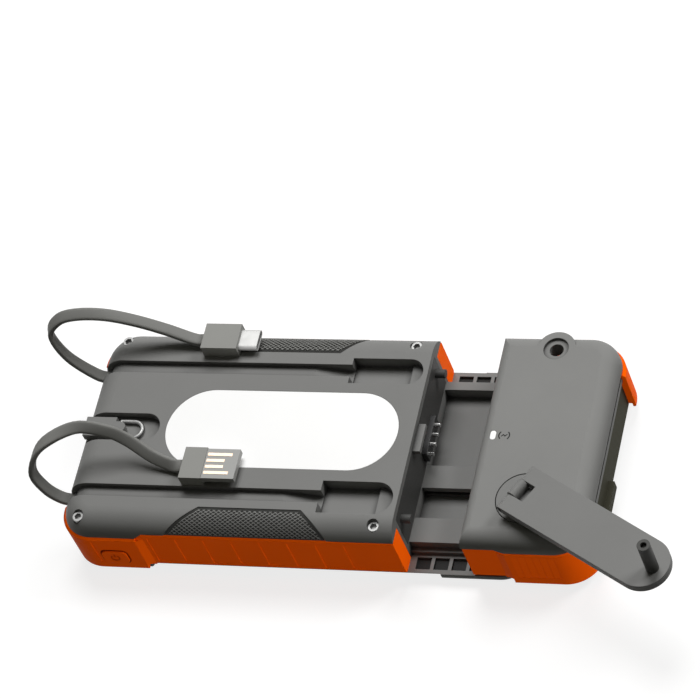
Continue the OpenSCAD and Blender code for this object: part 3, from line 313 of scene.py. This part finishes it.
def frosted(name, colour):
    """Frosted white window with a fine even haze and a faint painted glow that brightens its white."""
    material, tree, shader = new_material(name)
    place = object_place(tree)
    haze = noise(tree, place, scale=1800.0, detail=2.0)
    cloud = noise(tree, place, scale=30.0, detail=1.0)
    colour_out = two_shades(tree, cloud, colour, dark=0.985, light=1.03)
    tree.links.new(colour_out, shader.inputs["Base Color"])
    tree.links.new(between(tree, haze, low=0.38, high=0.5), shader.inputs["Roughness"])
    tree.links.new(relief(tree, haze, strength=0.2, distance=0.02 * MM), shader.inputs["Normal"])
    # Painted glow: a faint light of its own lifts the window's white
    shader.inputs["Emission Color"].default_value = (1.0, 1.0, 1.0, 1.0)
    shader.inputs["Emission Strength"].default_value = 0.06
    return material


def printed_cells(name, cell, finger):
    """Dark solar cells with thin printed lines across each column."""
    columns = 10
    pitch = 14.1 * MM
    margin = 0.85 * MM
    lines = 8
    half_line = 0.1
    material, tree, shader = new_material(name)
    place = object_place(tree)
    split = tree.nodes.new("ShaderNodeSeparateXYZ")
    tree.links.new(place, split.inputs["Vector"])
    along = math_node(tree, "ADD", split.outputs["X"], columns * pitch / 2)
    column = math_node(tree, "FRACT", math_node(tree, "DIVIDE", along, pitch))
    inside = math_node(tree, "SUBTRACT", column, margin / pitch)
    line = math_node(tree, "FRACT", math_node(tree, "MULTIPLY", inside, lines / (1 - 2 * margin / pitch)))
    off_centre = math_node(tree, "ABSOLUTE", math_node(tree, "SUBTRACT", line, 0.5))
    printed = math_node(tree, "LESS_THAN", off_centre, half_line)
    crystal = noise(tree, place, scale=700.0, detail=4.0)
    base = two_shades(tree, crystal, cell, dark=0.75, light=1.3)
    tree.links.new(blend_colour(tree, printed, base, finger), shader.inputs["Base Color"])
    tree.links.new(between(tree, crystal, low=0.25, high=0.4), shader.inputs["Roughness"])
    return material


def clear_film(name):
    """Clear glossy film over the cells."""
    material, tree, shader = new_material(name)
    place = object_place(tree)
    ripple = noise(tree, place, scale=120.0, detail=2.0)
    tint = blend_colour(tree, ripple, low=(0.03, 0.028, 0.034), high=(0.045, 0.042, 0.05))
    tree.links.new(tint, shader.inputs["Base Color"])
    tree.links.new(between(tree, ripple, low=0.08, high=0.14), shader.inputs["Roughness"])
    tree.links.new(relief(tree, ripple, strength=0.05, distance=0.05 * MM), shader.inputs["Normal"])
    shader.inputs["Alpha"].default_value = 0.22
    return material


def circuit(name):
    """Green board with a faint weave and lighter tracks."""
    track_width = 0.16
    track_colour = (0.04, 0.2, 0.07)
    material, tree, shader = new_material(name)
    place = object_place(tree)
    weave = noise(tree, place, scale=1500.0, detail=2.0)
    track = tree.nodes.new("ShaderNodeTexVoronoi")
    track.distance = "CHEBYCHEV"
    track.inputs["Scale"].default_value = 260.0
    tree.links.new(place, track.inputs["Vector"])
    base = blend_colour(tree, weave, low=(0.006, 0.06, 0.02), high=(0.012, 0.1, 0.035))
    line = math_node(tree, "LESS_THAN", track.outputs["Distance"], track_width)
    tree.links.new(blend_colour(tree, line, base, track_colour), shader.inputs["Base Color"])
    tree.links.new(between(tree, weave, low=0.3, high=0.45), shader.inputs["Roughness"])
    return material


def dress(names, material):
    """Gives CAD nodes a finish."""
    for name in names:
        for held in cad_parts[name].material_slots:
            held.material = material


# Mesh helpers


def make_piece(bm, name, material, body):
    """Closes a bmesh into a piece that rides on a body."""
    bmesh.ops.remove_doubles(bm, verts=bm.verts, dist=MERGE_DISTANCE)
    bmesh.ops.recalc_face_normals(bm, faces=bm.faces)
    mesh = bpy.data.meshes.new(name)
    bm.to_mesh(mesh)
    bm.free()
    mesh.materials.append(material)
    piece = bpy.data.objects.new(name, mesh)
    bpy.context.scene.collection.objects.link(piece)
    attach(piece, body)
    return piece


def curve_through(route, steps):
    """Points of a smooth curve through a route, in metres."""
    points = [Vector(p) * MM for p in route]
    found = []
    for i in range(len(points) - 1):
        a = points[max(i - 1, 0)]
        b, c = points[i], points[i + 1]
        d = points[min(i + 2, len(points) - 1)]
        for k in range(steps):
            t = k / steps
            found.append(0.5 * (2 * b + (c - a) * t + (2 * a - 5 * b + 4 * c - d) * t * t
                                + (3 * b - a - 3 * c + d) * t * t * t))
    found.append(points[-1])
    return found


def twist_at(twist, share):
    """Angle of a flat cable's face at a share of its length, eased between (share, degrees) knots."""
    for (first, start), (second, end) in zip(twist, twist[1:]):
        if share <= second:
            t = (share - first) / (second - first)
            return math.radians(start + (end - start) * t * t * (3 - 2 * t))
    return math.radians(twist[-1][1])


def rounded(share, power):
    """Pushes a circle's coordinate, from -1 to 1, outwards to that of a box with round corners."""
    return math.copysign(abs(share) ** power, share)


def sweep_flat(bm, points, width, thickness, twist):
    """Sweeps a flat section with round edges along points; its width is level where it isn't twisted."""
    section = bm.verts.layers.float_vector.new("section")
    start = bmesh.ops.create_circle(bm, cap_ends=False, segments=24, radius=1.0)["verts"]
    for vert in start:
        across = rounded(vert.co.x, power=0.45)
        over = rounded(vert.co.y, power=0.6)
        vert[section] = (across * width / 2, over * thickness / 2, 0.0)
    ring = list(bm.edges)
    bmesh.ops.edgeloop_fill(bm, edges=ring)
    last = len(points) - 1
    for i, point in enumerate(points):
        if i == 0:
            verts = start
            heading = Vector((-1, 0, 0))
        else:
            made = bmesh.ops.extrude_edge_only(bm, edges=ring)["geom"]
            verts = [g for g in made if isinstance(g, bmesh.types.BMVert)]
            found = set(verts)
            ring = [g for g in made if isinstance(g, bmesh.types.BMEdge) and set(g.verts) <= found]
            heading = Vector((1, 0, 0)) if i == last else (points[i + 1] - points[i - 1]).normalized()
        side = (Vector((0, 1, 0)) - heading.y * heading).normalized()
        side.rotate(Quaternion(heading, twist_at(twist, i / last)))
        up = heading.cross(side)
        for vert in verts:
            across, over, _ = vert[section]
            vert.co = point + side * across + up * over
    bmesh.ops.edgeloop_fill(bm, edges=ring)


def arc_band(bm, centre, across, up, radius, line, height, first, last):
    """Raised arc from angle first to last, in degrees, in the plane of across and up."""
    out = across.cross(up).normalized()
    start = across * math.cos(math.radians(first)) + up * math.sin(math.radians(first))
    corners = [bm.verts.new(centre + start * (radius + s * line / 2) + out * h)
               for s, h in ((-1, 0.0), (1, 0.0), (1, height), (-1, height))]
    profile = bm.faces.new(corners)
    geom = [profile, *profile.edges, *profile.verts]
    bmesh.ops.spin(bm, geom=geom, cent=centre, axis=out, angle=math.radians(last - first), steps=20,
                   use_duplicate=False)


def bar(bm, start, end, out, line, height):
    """Raised straight stroke between two points of a surface."""
    run = end - start
    side = out.cross(run).normalized()
    place = Matrix.Translation((start + end) / 2 + out * height / 2)
    turn = Matrix((run.normalized(), side, out)).transposed().to_4x4()
    size = Matrix.Diagonal((run.length + line, line, height, 1.0))
    bmesh.ops.create_cube(bm, size=1.0, matrix=place @ turn @ size)


# Operators


class POWERBANK_OT_stage(bpy.types.Operator):
    """Floor, light, backdrop colour and camera"""

    bl_idname = "powerbank.stage"
    bl_label = "Stage"

    # Camera: its place, its right and up directions, and its focal length and picture width in pixels
    camera_place = (0.46938, -0.67585, 1.06835)
    camera_right = (0.9392, 0.2079, -0.2732)
    camera_up = (-0.0165, 0.8223, 0.5689)
    focal_pixels = 3812
    picture_width = 700
    sensor_width = 36.0
    clip_range = (0.05, 20.0)

    # Lamps: name, place and size across in metres, and power in watts
    room_lamps = (
        ("key_light", (-0.1, 0.9, 1.6), 1.0, 25.0),
        ("right_light", (1.23, 0.95, 1.2), 0.7, 15.0),
    )
    orange_lamps = (
        ("end_fill", (1.7, -0.1, 0.5), 0.8, 15.5),
        ("front_fill", (0.4, -1.5, 0.5), 0.8, 7.3),
    )

    # Floor: its half width, its drop below the part, its tones, and the distances at which it fades to white
    floor_half = 3.0
    floor_drop = 0.1 * MM
    floor_grey = 0.32
    floor_glow = 0.8
    floor_bounce = 0.05
    floor_fade = (0.25, 0.7)

    # Colour and strength of the light from all round
    room_colour = (1.0, 0.97, 0.68, 1.0)
    room_strength = 0.045

    def execute(self, context):
        scene = context.scene
        scene.view_settings.view_transform = "Standard"
        self.camera(scene)
        self.floor(scene)
        self.world(scene)
        for name, place, size, power in self.room_lamps:
            self.lamp(scene, name, place, size, power)
        for name, place, size, power in self.orange_lamps:
            self.light_only(self.lamp(scene, name, place, size, power), ORANGE_PIECES)
        return {"FINISHED"}

    def camera(self, scene):
        data = bpy.data.cameras.new("camera")
        data.sensor_width = self.sensor_width
        data.lens = self.sensor_width * self.focal_pixels / self.picture_width
        data.clip_start, data.clip_end = self.clip_range
        camera = bpy.data.objects.new("camera", data)
        scene.collection.objects.link(camera)
        up = Vector(self.camera_up)
        back = Vector(self.camera_right).cross(up).normalized()
        right = up.cross(back).normalized()
        turn = Matrix((right, up.normalized(), back)).transposed().to_4x4()
        camera.matrix_world = Matrix.Translation(self.camera_place) @ turn
        scene.camera = camera

    def floor(self, scene):
        bm = bmesh.new()
        bmesh.ops.create_grid(bm, x_segments=4, y_segments=4, size=self.floor_half)
        bmesh.ops.translate(bm, verts=bm.verts, vec=(0.0, 0.0, -self.floor_drop))
        mesh = bpy.data.meshes.new("floor")
        bm.to_mesh(mesh)
        bm.free()
        floor = bpy.data.objects.new("floor", mesh)
        scene.collection.objects.link(floor)
        mesh.materials.append(self.floor_white())

    def floor_white(self):
        """White where it is seen, with the part's shadow, and dull where it throws light back."""
        material = bpy.data.materials.new("floor_white")
        material.use_nodes = True
        tree = material.node_tree
        tree.nodes.clear()
        seen = tree.nodes.new("ShaderNodeAddShader")
        tree.links.new(self.diffuse(tree, self.floor_grey), seen.inputs[0])
        tree.links.new(self.glow(tree, self.floor_glow), seen.inputs[1])
        away = tree.nodes.new("ShaderNodeVectorMath")
        away.operation = "LENGTH"
        tree.links.new(object_place(tree), away.inputs[0])
        far = between(tree, away.outputs["Value"], 0.0, 1.0, span=self.floor_fade)
        faded = mix_shaders(tree, far, seen.outputs[0], self.glow(tree, 1.0))
        plain = self.diffuse(tree, self.floor_bounce)
        out = tree.nodes.new("ShaderNodeOutputMaterial")
        tree.links.new(mix_shaders(tree, self.direct_view(tree), plain, faded), out.inputs["Surface"])
        return material

    def diffuse(self, tree, grey):
        node = tree.nodes.new("ShaderNodeBsdfDiffuse")
        node.inputs["Color"].default_value = (grey, grey, grey, 1.0)
        return node.outputs[0]

    def glow(self, tree, strength):
        node = tree.nodes.new("ShaderNodeEmission")
        node.inputs["Strength"].default_value = strength
        return node.outputs[0]

    def direct_view(self, tree):
        """1 where the camera, a reflection or glass sees the surface."""
        path = tree.nodes.new("ShaderNodeLightPath")
        first = math_node(tree, "MAXIMUM", path.outputs["Is Camera Ray"], path.outputs["Is Glossy Ray"])
        return math_node(tree, "MAXIMUM", first, path.outputs["Is Transmission Ray"])

    def world(self, scene):
        world = bpy.data.worlds.new("studio")
        world.use_nodes = True
        scene.world = world
        tree = world.node_tree
        tree.nodes.clear()
        shown = tree.nodes.new("ShaderNodeBackground")
        shown.inputs["Color"].default_value = (1.0, 1.0, 1.0, 1.0)
        shown.inputs["Strength"].default_value = 1.0
        light = tree.nodes.new("ShaderNodeBackground")
        light.inputs["Color"].default_value = self.room_colour
        light.inputs["Strength"].default_value = self.room_strength
        chosen = mix_shaders(tree, self.direct_view(tree), light.outputs[0], shown.outputs[0])
        out = tree.nodes.new("ShaderNodeOutputWorld")
        tree.links.new(chosen, out.inputs["Surface"])

    def lamp(self, scene, name, place, size, power):
        """Round lamp that faces the middle of the part."""
        data = bpy.data.lights.new(name, "AREA")
        data.shape = "DISK"
        data.size = size
        data.energy = power
        lamp = bpy.data.objects.new(name, data)
        scene.collection.objects.link(lamp)
        lamp.location = place
        lamp.rotation_mode = "QUATERNION"
        lamp.rotation_quaternion = (-Vector(place)).to_track_quat("-Z", "Y")
        return lamp

    def light_only(self, lamp, names):
        """Keeps a lamp's light to some of the CAD nodes, which only the floor can shade from it."""
        lit = bpy.data.collections.new(lamp.name + "_pieces")
        for name in names:
            lit.objects.link(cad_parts[name])
        lamp.light_linking.receiver_collection = lit
        shading = bpy.data.collections.new(lamp.name + "_shading")
        shading.objects.link(bpy.data.objects["floor"])
        lamp.light_linking.blocker_collection = shading


class POWERBANK_OT_cables(bpy.types.Operator):
    """Flat charging cables between the end face and their plugs"""

    bl_idname = "powerbank.cables"
    bl_label = "Cables"

    steps_between_points = 6

    def execute(self, context):
        size = sizes()
        soft = {"roughness": 0.5, "grain": 1900.0, "depth": 0.03 * MM, "edge": 0.2 * MM, "gloss": 0.16}
        jacket = moulded("cable_jacket", colours().cable, **soft)
        dress(PLUG_BODIES, moulded("plug_grey", colours().plug, **soft))
        dress(("plug_a_blade",), moulded(
            "plug_blade", colours().blade, roughness=0.4, grain=1500.0, depth=0.02 * MM, edge=0.1 * MM))
        for name, route, twist, plug in (
            ("cable_a", ROUTE_A, TWIST_A, ("plug_a_body", "plug_a_blade", "plug_a_contacts")),
            ("cable_c", ROUTE_C, TWIST_C, ("plug_c_body", "plug_c_shell")),
        ):
            points = curve_through(route, self.steps_between_points)
            bm = bmesh.new()
            sweep_flat(bm, points, size.cable_width, size.cable_thickness, twist)
            for face in bm.faces:
                face.smooth = True
            cable = make_piece(bm, name + "_jacket", jacket, "main")
            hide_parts(name)
        return {"FINISHED"}


class POWERBANK_OT_shells(bpy.types.Operator):
    """Grey moulded shells, crank, end panel, dock face and handle"""

    bl_idname = "powerbank.shells"
    bl_label = "Shells"

    def execute(self, context):
        edge = sizes().edge
        for name, colour, pieces in (
            ("shell_grey", colours().shell, BODY_SHELLS),
            ("module_grey", colours().module, MODULE_SHELLS),
        ):
            # The grey shells carry painted shade in their own corners and holes, up to 3 mm in
            dress(pieces, moulded(
                name, colour, roughness=0.55, grain=2400.0, depth=0.04 * MM, edge=edge, gloss=0.16,
                corner_shade_reach=3.0 * MM))
        # Painted shade: the end panel's colour is darkened to stand for the shade on it
        dress(("end_panel",), moulded(
            "end_panel_painted_shade", colours().end_panel, roughness=0.6, grain=1500.0, depth=0.04 * MM, edge=edge,
            gloss=0.04))
        # Painted shade: the dock face's colour is darkened to stand for the shade on the parting face
        dress(DOCK_FACE, moulded(
            "dock_face_painted_shade", colours().dock_face, roughness=0.55, grain=1500.0, depth=0.04 * MM, edge=edge,
            gloss=0.3))
        # Painted shade: the handle's colour is darkened to stand for the shade it sits in
        dress(HANDLE, moulded(
            "handle_painted_shade", colours().handle, roughness=0.42, grain=1500.0, depth=0.03 * MM, edge=edge,
            gloss=0.1))
        return {"FINISHED"}


class POWERBANK_OT_bumpers(bpy.types.Operator):
    """Soft orange bumpers and the power button"""

    bl_idname = "powerbank.bumpers"
    bl_label = "Bumpers"

    def execute(self, context):
        dress(ORANGE_PIECES, moulded(
            "bumper_orange", colours().bumper, roughness=0.52, grain=1700.0, depth=0.04 * MM,
            edge=sizes().edge, gloss=0.02))
        return {"FINISHED"}


class POWERBANK_OT_grip_pads(bpy.types.Operator):
    """Rubber pads let into the rolled edges, each with a raised diamond net"""

    bl_idname = "powerbank.grip_pads"
    bl_label = "Grip pads"

    # The pads' roll, upper edge, lower edge and ends, in millimetres, as in the part
    roll_y = 33.773
    roll_z = 19.5
    outer = 8.85
    upper_y = 32.773
    lower_z = 23.6
    upper_ends = (-31.4, 6.4)
    lower_ends = (-46.9, 18.6)
    lower_y = 44.0

    # The net's half width round the roll, its middle from the roll's top, and its sink, in millimetres
    net_half = 6.2
    net_middle = 4.8
    net_sink = 0.06
    # A diamond's height as a share of its length, and the lower rim's as a share of the others
    diamond_height = 0.68
    lower_rim = 0.6
    # Diamonds along the net before it is cut, for each one that the pad's length holds
    spare_diamonds = 1.5

    cut_tolerance = 1e-8

    def execute(self, context):
        dress(GRIP_PADS, moulded(
            "grip_rubber", colours().grip, roughness=0.6, grain=1200.0, depth=0.03 * MM, edge=0.2 * MM,
            gloss=0.2))
        ridge = moulded(
            "grip_ridge", colours().ridge, roughness=0.5, grain=1200.0, depth=0.03 * MM, edge=0.05 * MM)
        for pad in GRIP_PADS:
            self.net(pad, ridge)
        return {"FINISHED"}

    def net(self, pad, ridge):
        """Net of diamonds wrapped on the roll, inside the pad's plain rim."""
        size = sizes()
        low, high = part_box(pad)
        bm = bmesh.new()
        self.flat_net(bm, high.x - low.x)
        self.wrap(bm, (low.x + high.x) / 2)
        self.trim(bm)
        bmesh.ops.recalc_face_normals(bm, faces=bm.faces)
        bmesh.ops.solidify(bm, geom=bm.faces[:], thickness=size.grip_rise + self.net_sink * MM)
        if high.y < 0:
            for vert in bm.verts:
                vert.co.y = -vert.co.y
        make_piece(bm, pad + "_net", ridge, "main")

    def flat_net(self, bm, length):
        """Lines between diamonds, flat, longer than the pad and as wide as the net."""
        size = sizes()
        cells = int(length / size.grip_pitch * self.spare_diamonds)
        bmesh.ops.create_grid(bm, x_segments=cells, y_segments=cells, size=0.5)
        bmesh.ops.rotate(bm, verts=bm.verts, matrix=Matrix.Rotation(math.radians(45), 3, "Z"))
        stretch = cells * math.sqrt(2) * size.grip_pitch / 2
        bmesh.ops.scale(bm, verts=bm.verts, vec=(stretch, stretch * self.diamond_height, 1.0))
        beyond = [v for v in bm.verts if abs(v.co.y) > self.net_half * MM]
        bmesh.ops.delete(bm, geom=beyond, context="VERTS")
        diamonds = bm.faces[:]
        bmesh.ops.inset_individual(bm, faces=diamonds, thickness=size.grip_line / 2)
        bmesh.ops.delete(bm, geom=diamonds, context="FACES_ONLY")

    def wrap(self, bm, middle):
        """Bends the flat net round the roll."""
        outer = self.outer * MM
        reach = outer + sizes().grip_rise
        for vert in bm.verts:
            angle = (vert.co.y + self.net_middle * MM) / outer
            vert.co = (vert.co.x + middle, self.roll_y * MM + reach * math.sin(angle),
                       self.roll_z * MM + reach * math.cos(angle))

    def trim(self, bm):
        """Cuts the net back to the pad's outline, less the rim."""
        rim = sizes().grip_rim
        corners = [Vector((x, y, 0)) * MM for x, y in (
            (self.upper_ends[0], self.upper_y), (self.upper_ends[1], self.upper_y),
            (self.lower_ends[1], self.lower_y), (self.lower_ends[0], self.lower_y))]
        for first, second in zip(corners, corners[1:] + corners[:1]):
            run = second - first
            normal = Vector((run.y, -run.x, 0)).normalized()
            self.cut(bm, first - normal * rim, normal)
        self.cut(bm, Vector((0, 0, self.lower_z * MM + rim * self.lower_rim)), Vector((0, 0, -1)))

    def cut(self, bm, place, normal):
        """Cuts away what lies on the normal's side."""
        bmesh.ops.bisect_plane(bm, geom=bm.verts[:] + bm.edges[:] + bm.faces[:], dist=self.cut_tolerance,
                               plane_co=place, plane_no=normal, clear_outer=True)


class POWERBANK_OT_solar(bpy.types.Operator):
    """Solar panel, its printed cells and the clear film"""

    bl_idname = "powerbank.solar"
    bl_label = "Solar panel"

    def execute(self, context):
        dress(("solar_panel",), moulded(
            "panel_backing", shade(colours().cell, 1.5), roughness=0.4, grain=900.0, depth=0.02 * MM,
            edge=sizes().edge))
        dress(("solar_cells",), printed_cells("solar_cells_printed", colours().cell, colours().finger))
        dress(("solar_film",), clear_film("clear_film"))
        return {"FINISHED"}


class POWERBANK_OT_lamp(bpy.types.Operator):
    """Lamp window, its board and lights, and the indicator window"""

    bl_idname = "powerbank.lamp"
    bl_label = "Lamp"

    board_white = (0.8, 0.8, 0.78)
    chip_yellow = (0.8, 0.6, 0.12)

    def execute(self, context):
        dress(LENSES, frosted("lamp_frost", colours().lens))
        dress(("lamp_board",), moulded(
            "lamp_board_white", self.board_white, roughness=0.35, grain=900.0, depth=0.02 * MM,
            edge=0.1 * MM))
        dress(("lamp_leds",), moulded(
            "lamp_chip_yellow", self.chip_yellow, roughness=0.3, grain=900.0, depth=0.02 * MM,
            edge=0.1 * MM))
        return {"FINISHED"}


class POWERBANK_OT_metal(bpy.types.Operator):
    """Steel, plated contacts and brass"""

    bl_idname = "powerbank.metal"
    bl_label = "Metal"

    brass = (0.6, 0.42, 0.16)

    def execute(self, context):
        steel = colours().steel
        dress(STEEL_PIECES, metal("bright_steel", steel, roughness=0.26, edge=0.12 * MM))
        dress(DULL_STEEL, metal("dull_steel", colours().dull_steel, roughness=0.45, edge=0.12 * MM))
        dress(("plug_c_shell",), metal("plug_steel", shade(steel, 0.85), roughness=0.6, edge=0.12 * MM))
        dress(GOLD_PIECES, metal("plated_gold", colours().gold, roughness=0.42, edge=0.08 * MM))
        dress(BRASS_PIECES, metal("turned_brass", self.brass, roughness=0.3, edge=0.1 * MM))
        return {"FINISHED"}


class POWERBANK_OT_inside(bpy.types.Operator):
    """Boards, cells, gears and black mouldings"""

    bl_idname = "powerbank.inside"
    bl_label = "Inside"

    foil = (0.55, 0.56, 0.58)
    black = (0.012, 0.012, 0.012)
    nylon = (0.72, 0.71, 0.66)

    def execute(self, context):
        dress(BOARDS, circuit("circuit_board"))
        dress(("battery_cells",), metal("battery_foil", self.foil, roughness=0.42, edge=0.6 * MM))
        dress(BLACK_PIECES, moulded(
            "black_moulding", self.black, roughness=0.45, grain=1600.0, depth=0.03 * MM, edge=0.15 * MM))
        dress(GEARS, moulded(
            "gear_nylon", self.nylon, roughness=0.4, grain=1300.0, depth=0.02 * MM, edge=0.08 * MM))
        return {"FINISHED"}


class POWERBANK_OT_marks(bpy.types.Operator):
    """Small moulded mark on the button and printed mark beside the indicator"""

    bl_idname = "powerbank.marks"
    bl_label = "Marks"

    # Printed mark, in millimetres and degrees: distance from the indicator, ring, arcs and zigzag
    ink = (0.006, 0.006, 0.006)
    printed_away = 4.0
    printed_r = 1.9
    printed_arcs = ((-48, 48), (132, 228))
    zigzag = ((-0.95, -0.35), (-0.3, 0.3), (0.3, -0.3), (0.95, 0.35))
    zigzag_line = 0.8
    printed_rise = 0.06
    printed_sink = 0.02

    # Moulded mark, in millimetres and degrees: open ring, and the stroke's ends above its middle
    ring_r = 1.5
    ring_arc = (-235, 55)
    stroke_ends = (0.5, 1.9)
    ring_rise = 0.15
    ring_sink = 0.03

    def execute(self, context):
        self.printed_mark()
        self.button_mark()
        return {"FINISHED"}

    def printed_mark(self):
        """Zigzag between two arcs, on the module's top."""
        line = sizes().mark_line
        rise = self.printed_rise * MM
        low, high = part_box("indicator_lens")
        middle = (low + high) / 2
        centre = Vector((middle.x + self.printed_away * MM, middle.y, high.z - self.printed_sink * MM))
        across, up = Vector((1, 0, 0)), Vector((0, 1, 0))
        out = across.cross(up)
        bm = bmesh.new()
        for first, last in self.printed_arcs:
            arc_band(bm, centre, across, up, self.printed_r * MM, line, rise, first, last)
        bends = [centre + (across * x + up * y) * MM for x, y in self.zigzag]
        for first, second in zip(bends, bends[1:]):
            bar(bm, first, second, out, line * self.zigzag_line, rise)
        ink = moulded(
            "mark_ink", self.ink, roughness=0.5, grain=1500.0, depth=0.01 * MM, edge=0.05 * MM, gloss=0.1)
        make_piece(bm, "indicator_mark", ink, "crank_module")

    def button_mark(self):
        """Open ring with a stroke in its gap, on the button's face."""
        line = sizes().mark_line
        rise = self.ring_rise * MM
        low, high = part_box("power_button")
        centre = Vector(((low.x + high.x) / 2, low.y + self.ring_sink * MM, (low.z + high.z) / 2))
        across, up = Vector((1, 0, 0)), Vector((0, 0, 1))
        out = across.cross(up)
        bm = bmesh.new()
        arc_band(bm, centre, across, up, self.ring_r * MM, line, rise, *self.ring_arc)
        start, end = (centre + up * height * MM for height in self.stroke_ends)
        bar(bm, start, end, out, line, rise)
        orange = moulded(
            "button_mark_orange", shade(colours().bumper, 0.88), roughness=0.5, grain=1700.0,
            depth=0.03 * MM, edge=0.08 * MM, gloss=0.02)
        make_piece(bm, "button_mark", orange, "button")


class POWERBANK_OT_shadow_gaps(bpy.types.Operator):
    """Painted shade: a dark ring in the gap round the button and dark pads on the floors of the tray's
    pockets
    """

    bl_idname = "powerbank.shadow_gaps"
    bl_label = "Shadow gaps"

    # The pockets' first edge, pitch and length along the tray, sides, floor and the pads of painted shade,
    # in millimetres
    pocket_x = 43.0
    pocket_pitch = 6.5
    pocket_l = 5.2
    pocket_count = 5
    pocket_side = (35.3, 40.0)
    pocket_floor = 3.2
    pad_rise = 0.25

    # The bumper's face at the button, the button's corner radius, and the dark ring of painted shade in the
    # gap round it, in millimetres
    face_y = -43.2
    button_r = 1.8
    seam_gap = 0.05
    seam_line = 0.5
    seam_rise = 0.12
    seam_depth = 0.6

    def execute(self, context):
        self.seam()
        self.pocket_shade_pads()
        return {"FINISHED"}

    def seam(self):
        """Rounded dark frame let into the bumper, close round the button, as painted shade in the gap."""
        low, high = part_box("power_button")
        line = self.seam_line * MM
        border = self.seam_gap * MM + line
        bm = bmesh.new()
        bmesh.ops.create_grid(bm, x_segments=1, y_segments=1, size=0.5)
        bmesh.ops.scale(bm, verts=bm.verts,
                        vec=(high.x - low.x + 2 * border, high.z - low.z + 2 * border, 1.0))
        bmesh.ops.bevel(bm, geom=bm.verts[:], offset=self.button_r * MM + border, offset_type="OFFSET",
                        affect="VERTICES", segments=8, profile=0.5, material=-1)
        face = bm.faces[:]
        bmesh.ops.inset_region(bm, faces=face, thickness=line, use_boundary=True, use_even_offset=True)
        bmesh.ops.delete(bm, geom=face, context="FACES")
        bmesh.ops.solidify(bm, geom=bm.faces[:], thickness=self.seam_depth * MM)
        turn = Matrix.Rotation(math.radians(90), 4, "X")
        front = (self.face_y - self.seam_rise) * MM
        place = Matrix.Translation(((low.x + high.x) / 2, front, (low.z + high.z) / 2))
        bmesh.ops.transform(bm, matrix=place @ turn, verts=bm.verts)
        # Painted shade: the bumper's orange darkened
        dark = moulded(
            "button_gap_shade", shade(colours().bumper, 0.4), roughness=0.6, grain=1700.0, depth=0.03 * MM,
            edge=0.05 * MM, gloss=0.02)
        make_piece(bm, "button_gap_shade_ring", dark, "main")

    def pocket_shade_pads(self):
        """Thin dark pads of painted shade on the floors of the pockets beside the rails."""
        near, far = self.pocket_side
        size = Matrix.Diagonal((self.pocket_l * MM, (far - near) * MM, self.pad_rise * MM, 1.0))
        bm = bmesh.new()
        for number in range(self.pocket_count):
            for side in (-1, 1):
                middle = Vector((self.pocket_x + number * self.pocket_pitch + self.pocket_l / 2,
                                 side * (near + far) / 2, self.pocket_floor + self.pad_rise / 2))
                bmesh.ops.create_cube(bm, size=1.0, matrix=Matrix.Translation(middle * MM) @ size)
        # Painted shade: the shell grey darkened to stand for the shade in the pockets
        dark = moulded(
            "pocket_painted_shade", shade(colours().shell, 0.12), roughness=0.6, grain=1500.0, depth=0.03 * MM,
            edge=0.05 * MM, gloss=0.1)
        make_piece(bm, "pocket_shade_pads", dark, "main")


class POWERBANK_PT_panel(bpy.types.Panel):
    """Power bank finishes"""

    bl_idname = "POWERBANK_PT_panel"
    bl_label = "Power bank"
    bl_space_type = "VIEW_3D"
    bl_region_type = "UI"
    bl_category = "Power bank"

    def draw(self, context):
        layout = self.layout
        for group in (context.scene.power_bank_colours, context.scene.power_bank_sizes):
            box = layout.box()
            for name in group.__annotations__:
                box.prop(group, name)
        for operator in OPERATORS:
            layout.operator(operator.bl_idname)


OPERATORS = (
    POWERBANK_OT_stage,
    POWERBANK_OT_cables,
    POWERBANK_OT_shells,
    POWERBANK_OT_bumpers,
    POWERBANK_OT_grip_pads,
    POWERBANK_OT_solar,
    POWERBANK_OT_lamp,
    POWERBANK_OT_metal,
    POWERBANK_OT_inside,
    POWERBANK_OT_marks,
    POWERBANK_OT_shadow_gaps,
)
CLASSES = (PowerBankColours, PowerBankSizes, *OPERATORS, POWERBANK_PT_panel)


def register():
    for cls in CLASSES:
        bpy.utils.register_class(cls)
    bpy.types.Scene.power_bank_colours = bpy.props.PointerProperty(type=PowerBankColours)
    bpy.types.Scene.power_bank_sizes = bpy.props.PointerProperty(type=PowerBankSizes)


def unregister():
    del bpy.types.Scene.power_bank_sizes
    del bpy.types.Scene.power_bank_colours
    for cls in reversed(CLASSES):
        bpy.utils.unregister_class(cls)


def main():
    register()
    for operator in OPERATORS:
        group, name = operator.bl_idname.split(".")
        getattr(getattr(bpy.ops, group), name)()


if __name__ == "__main__":
    main()
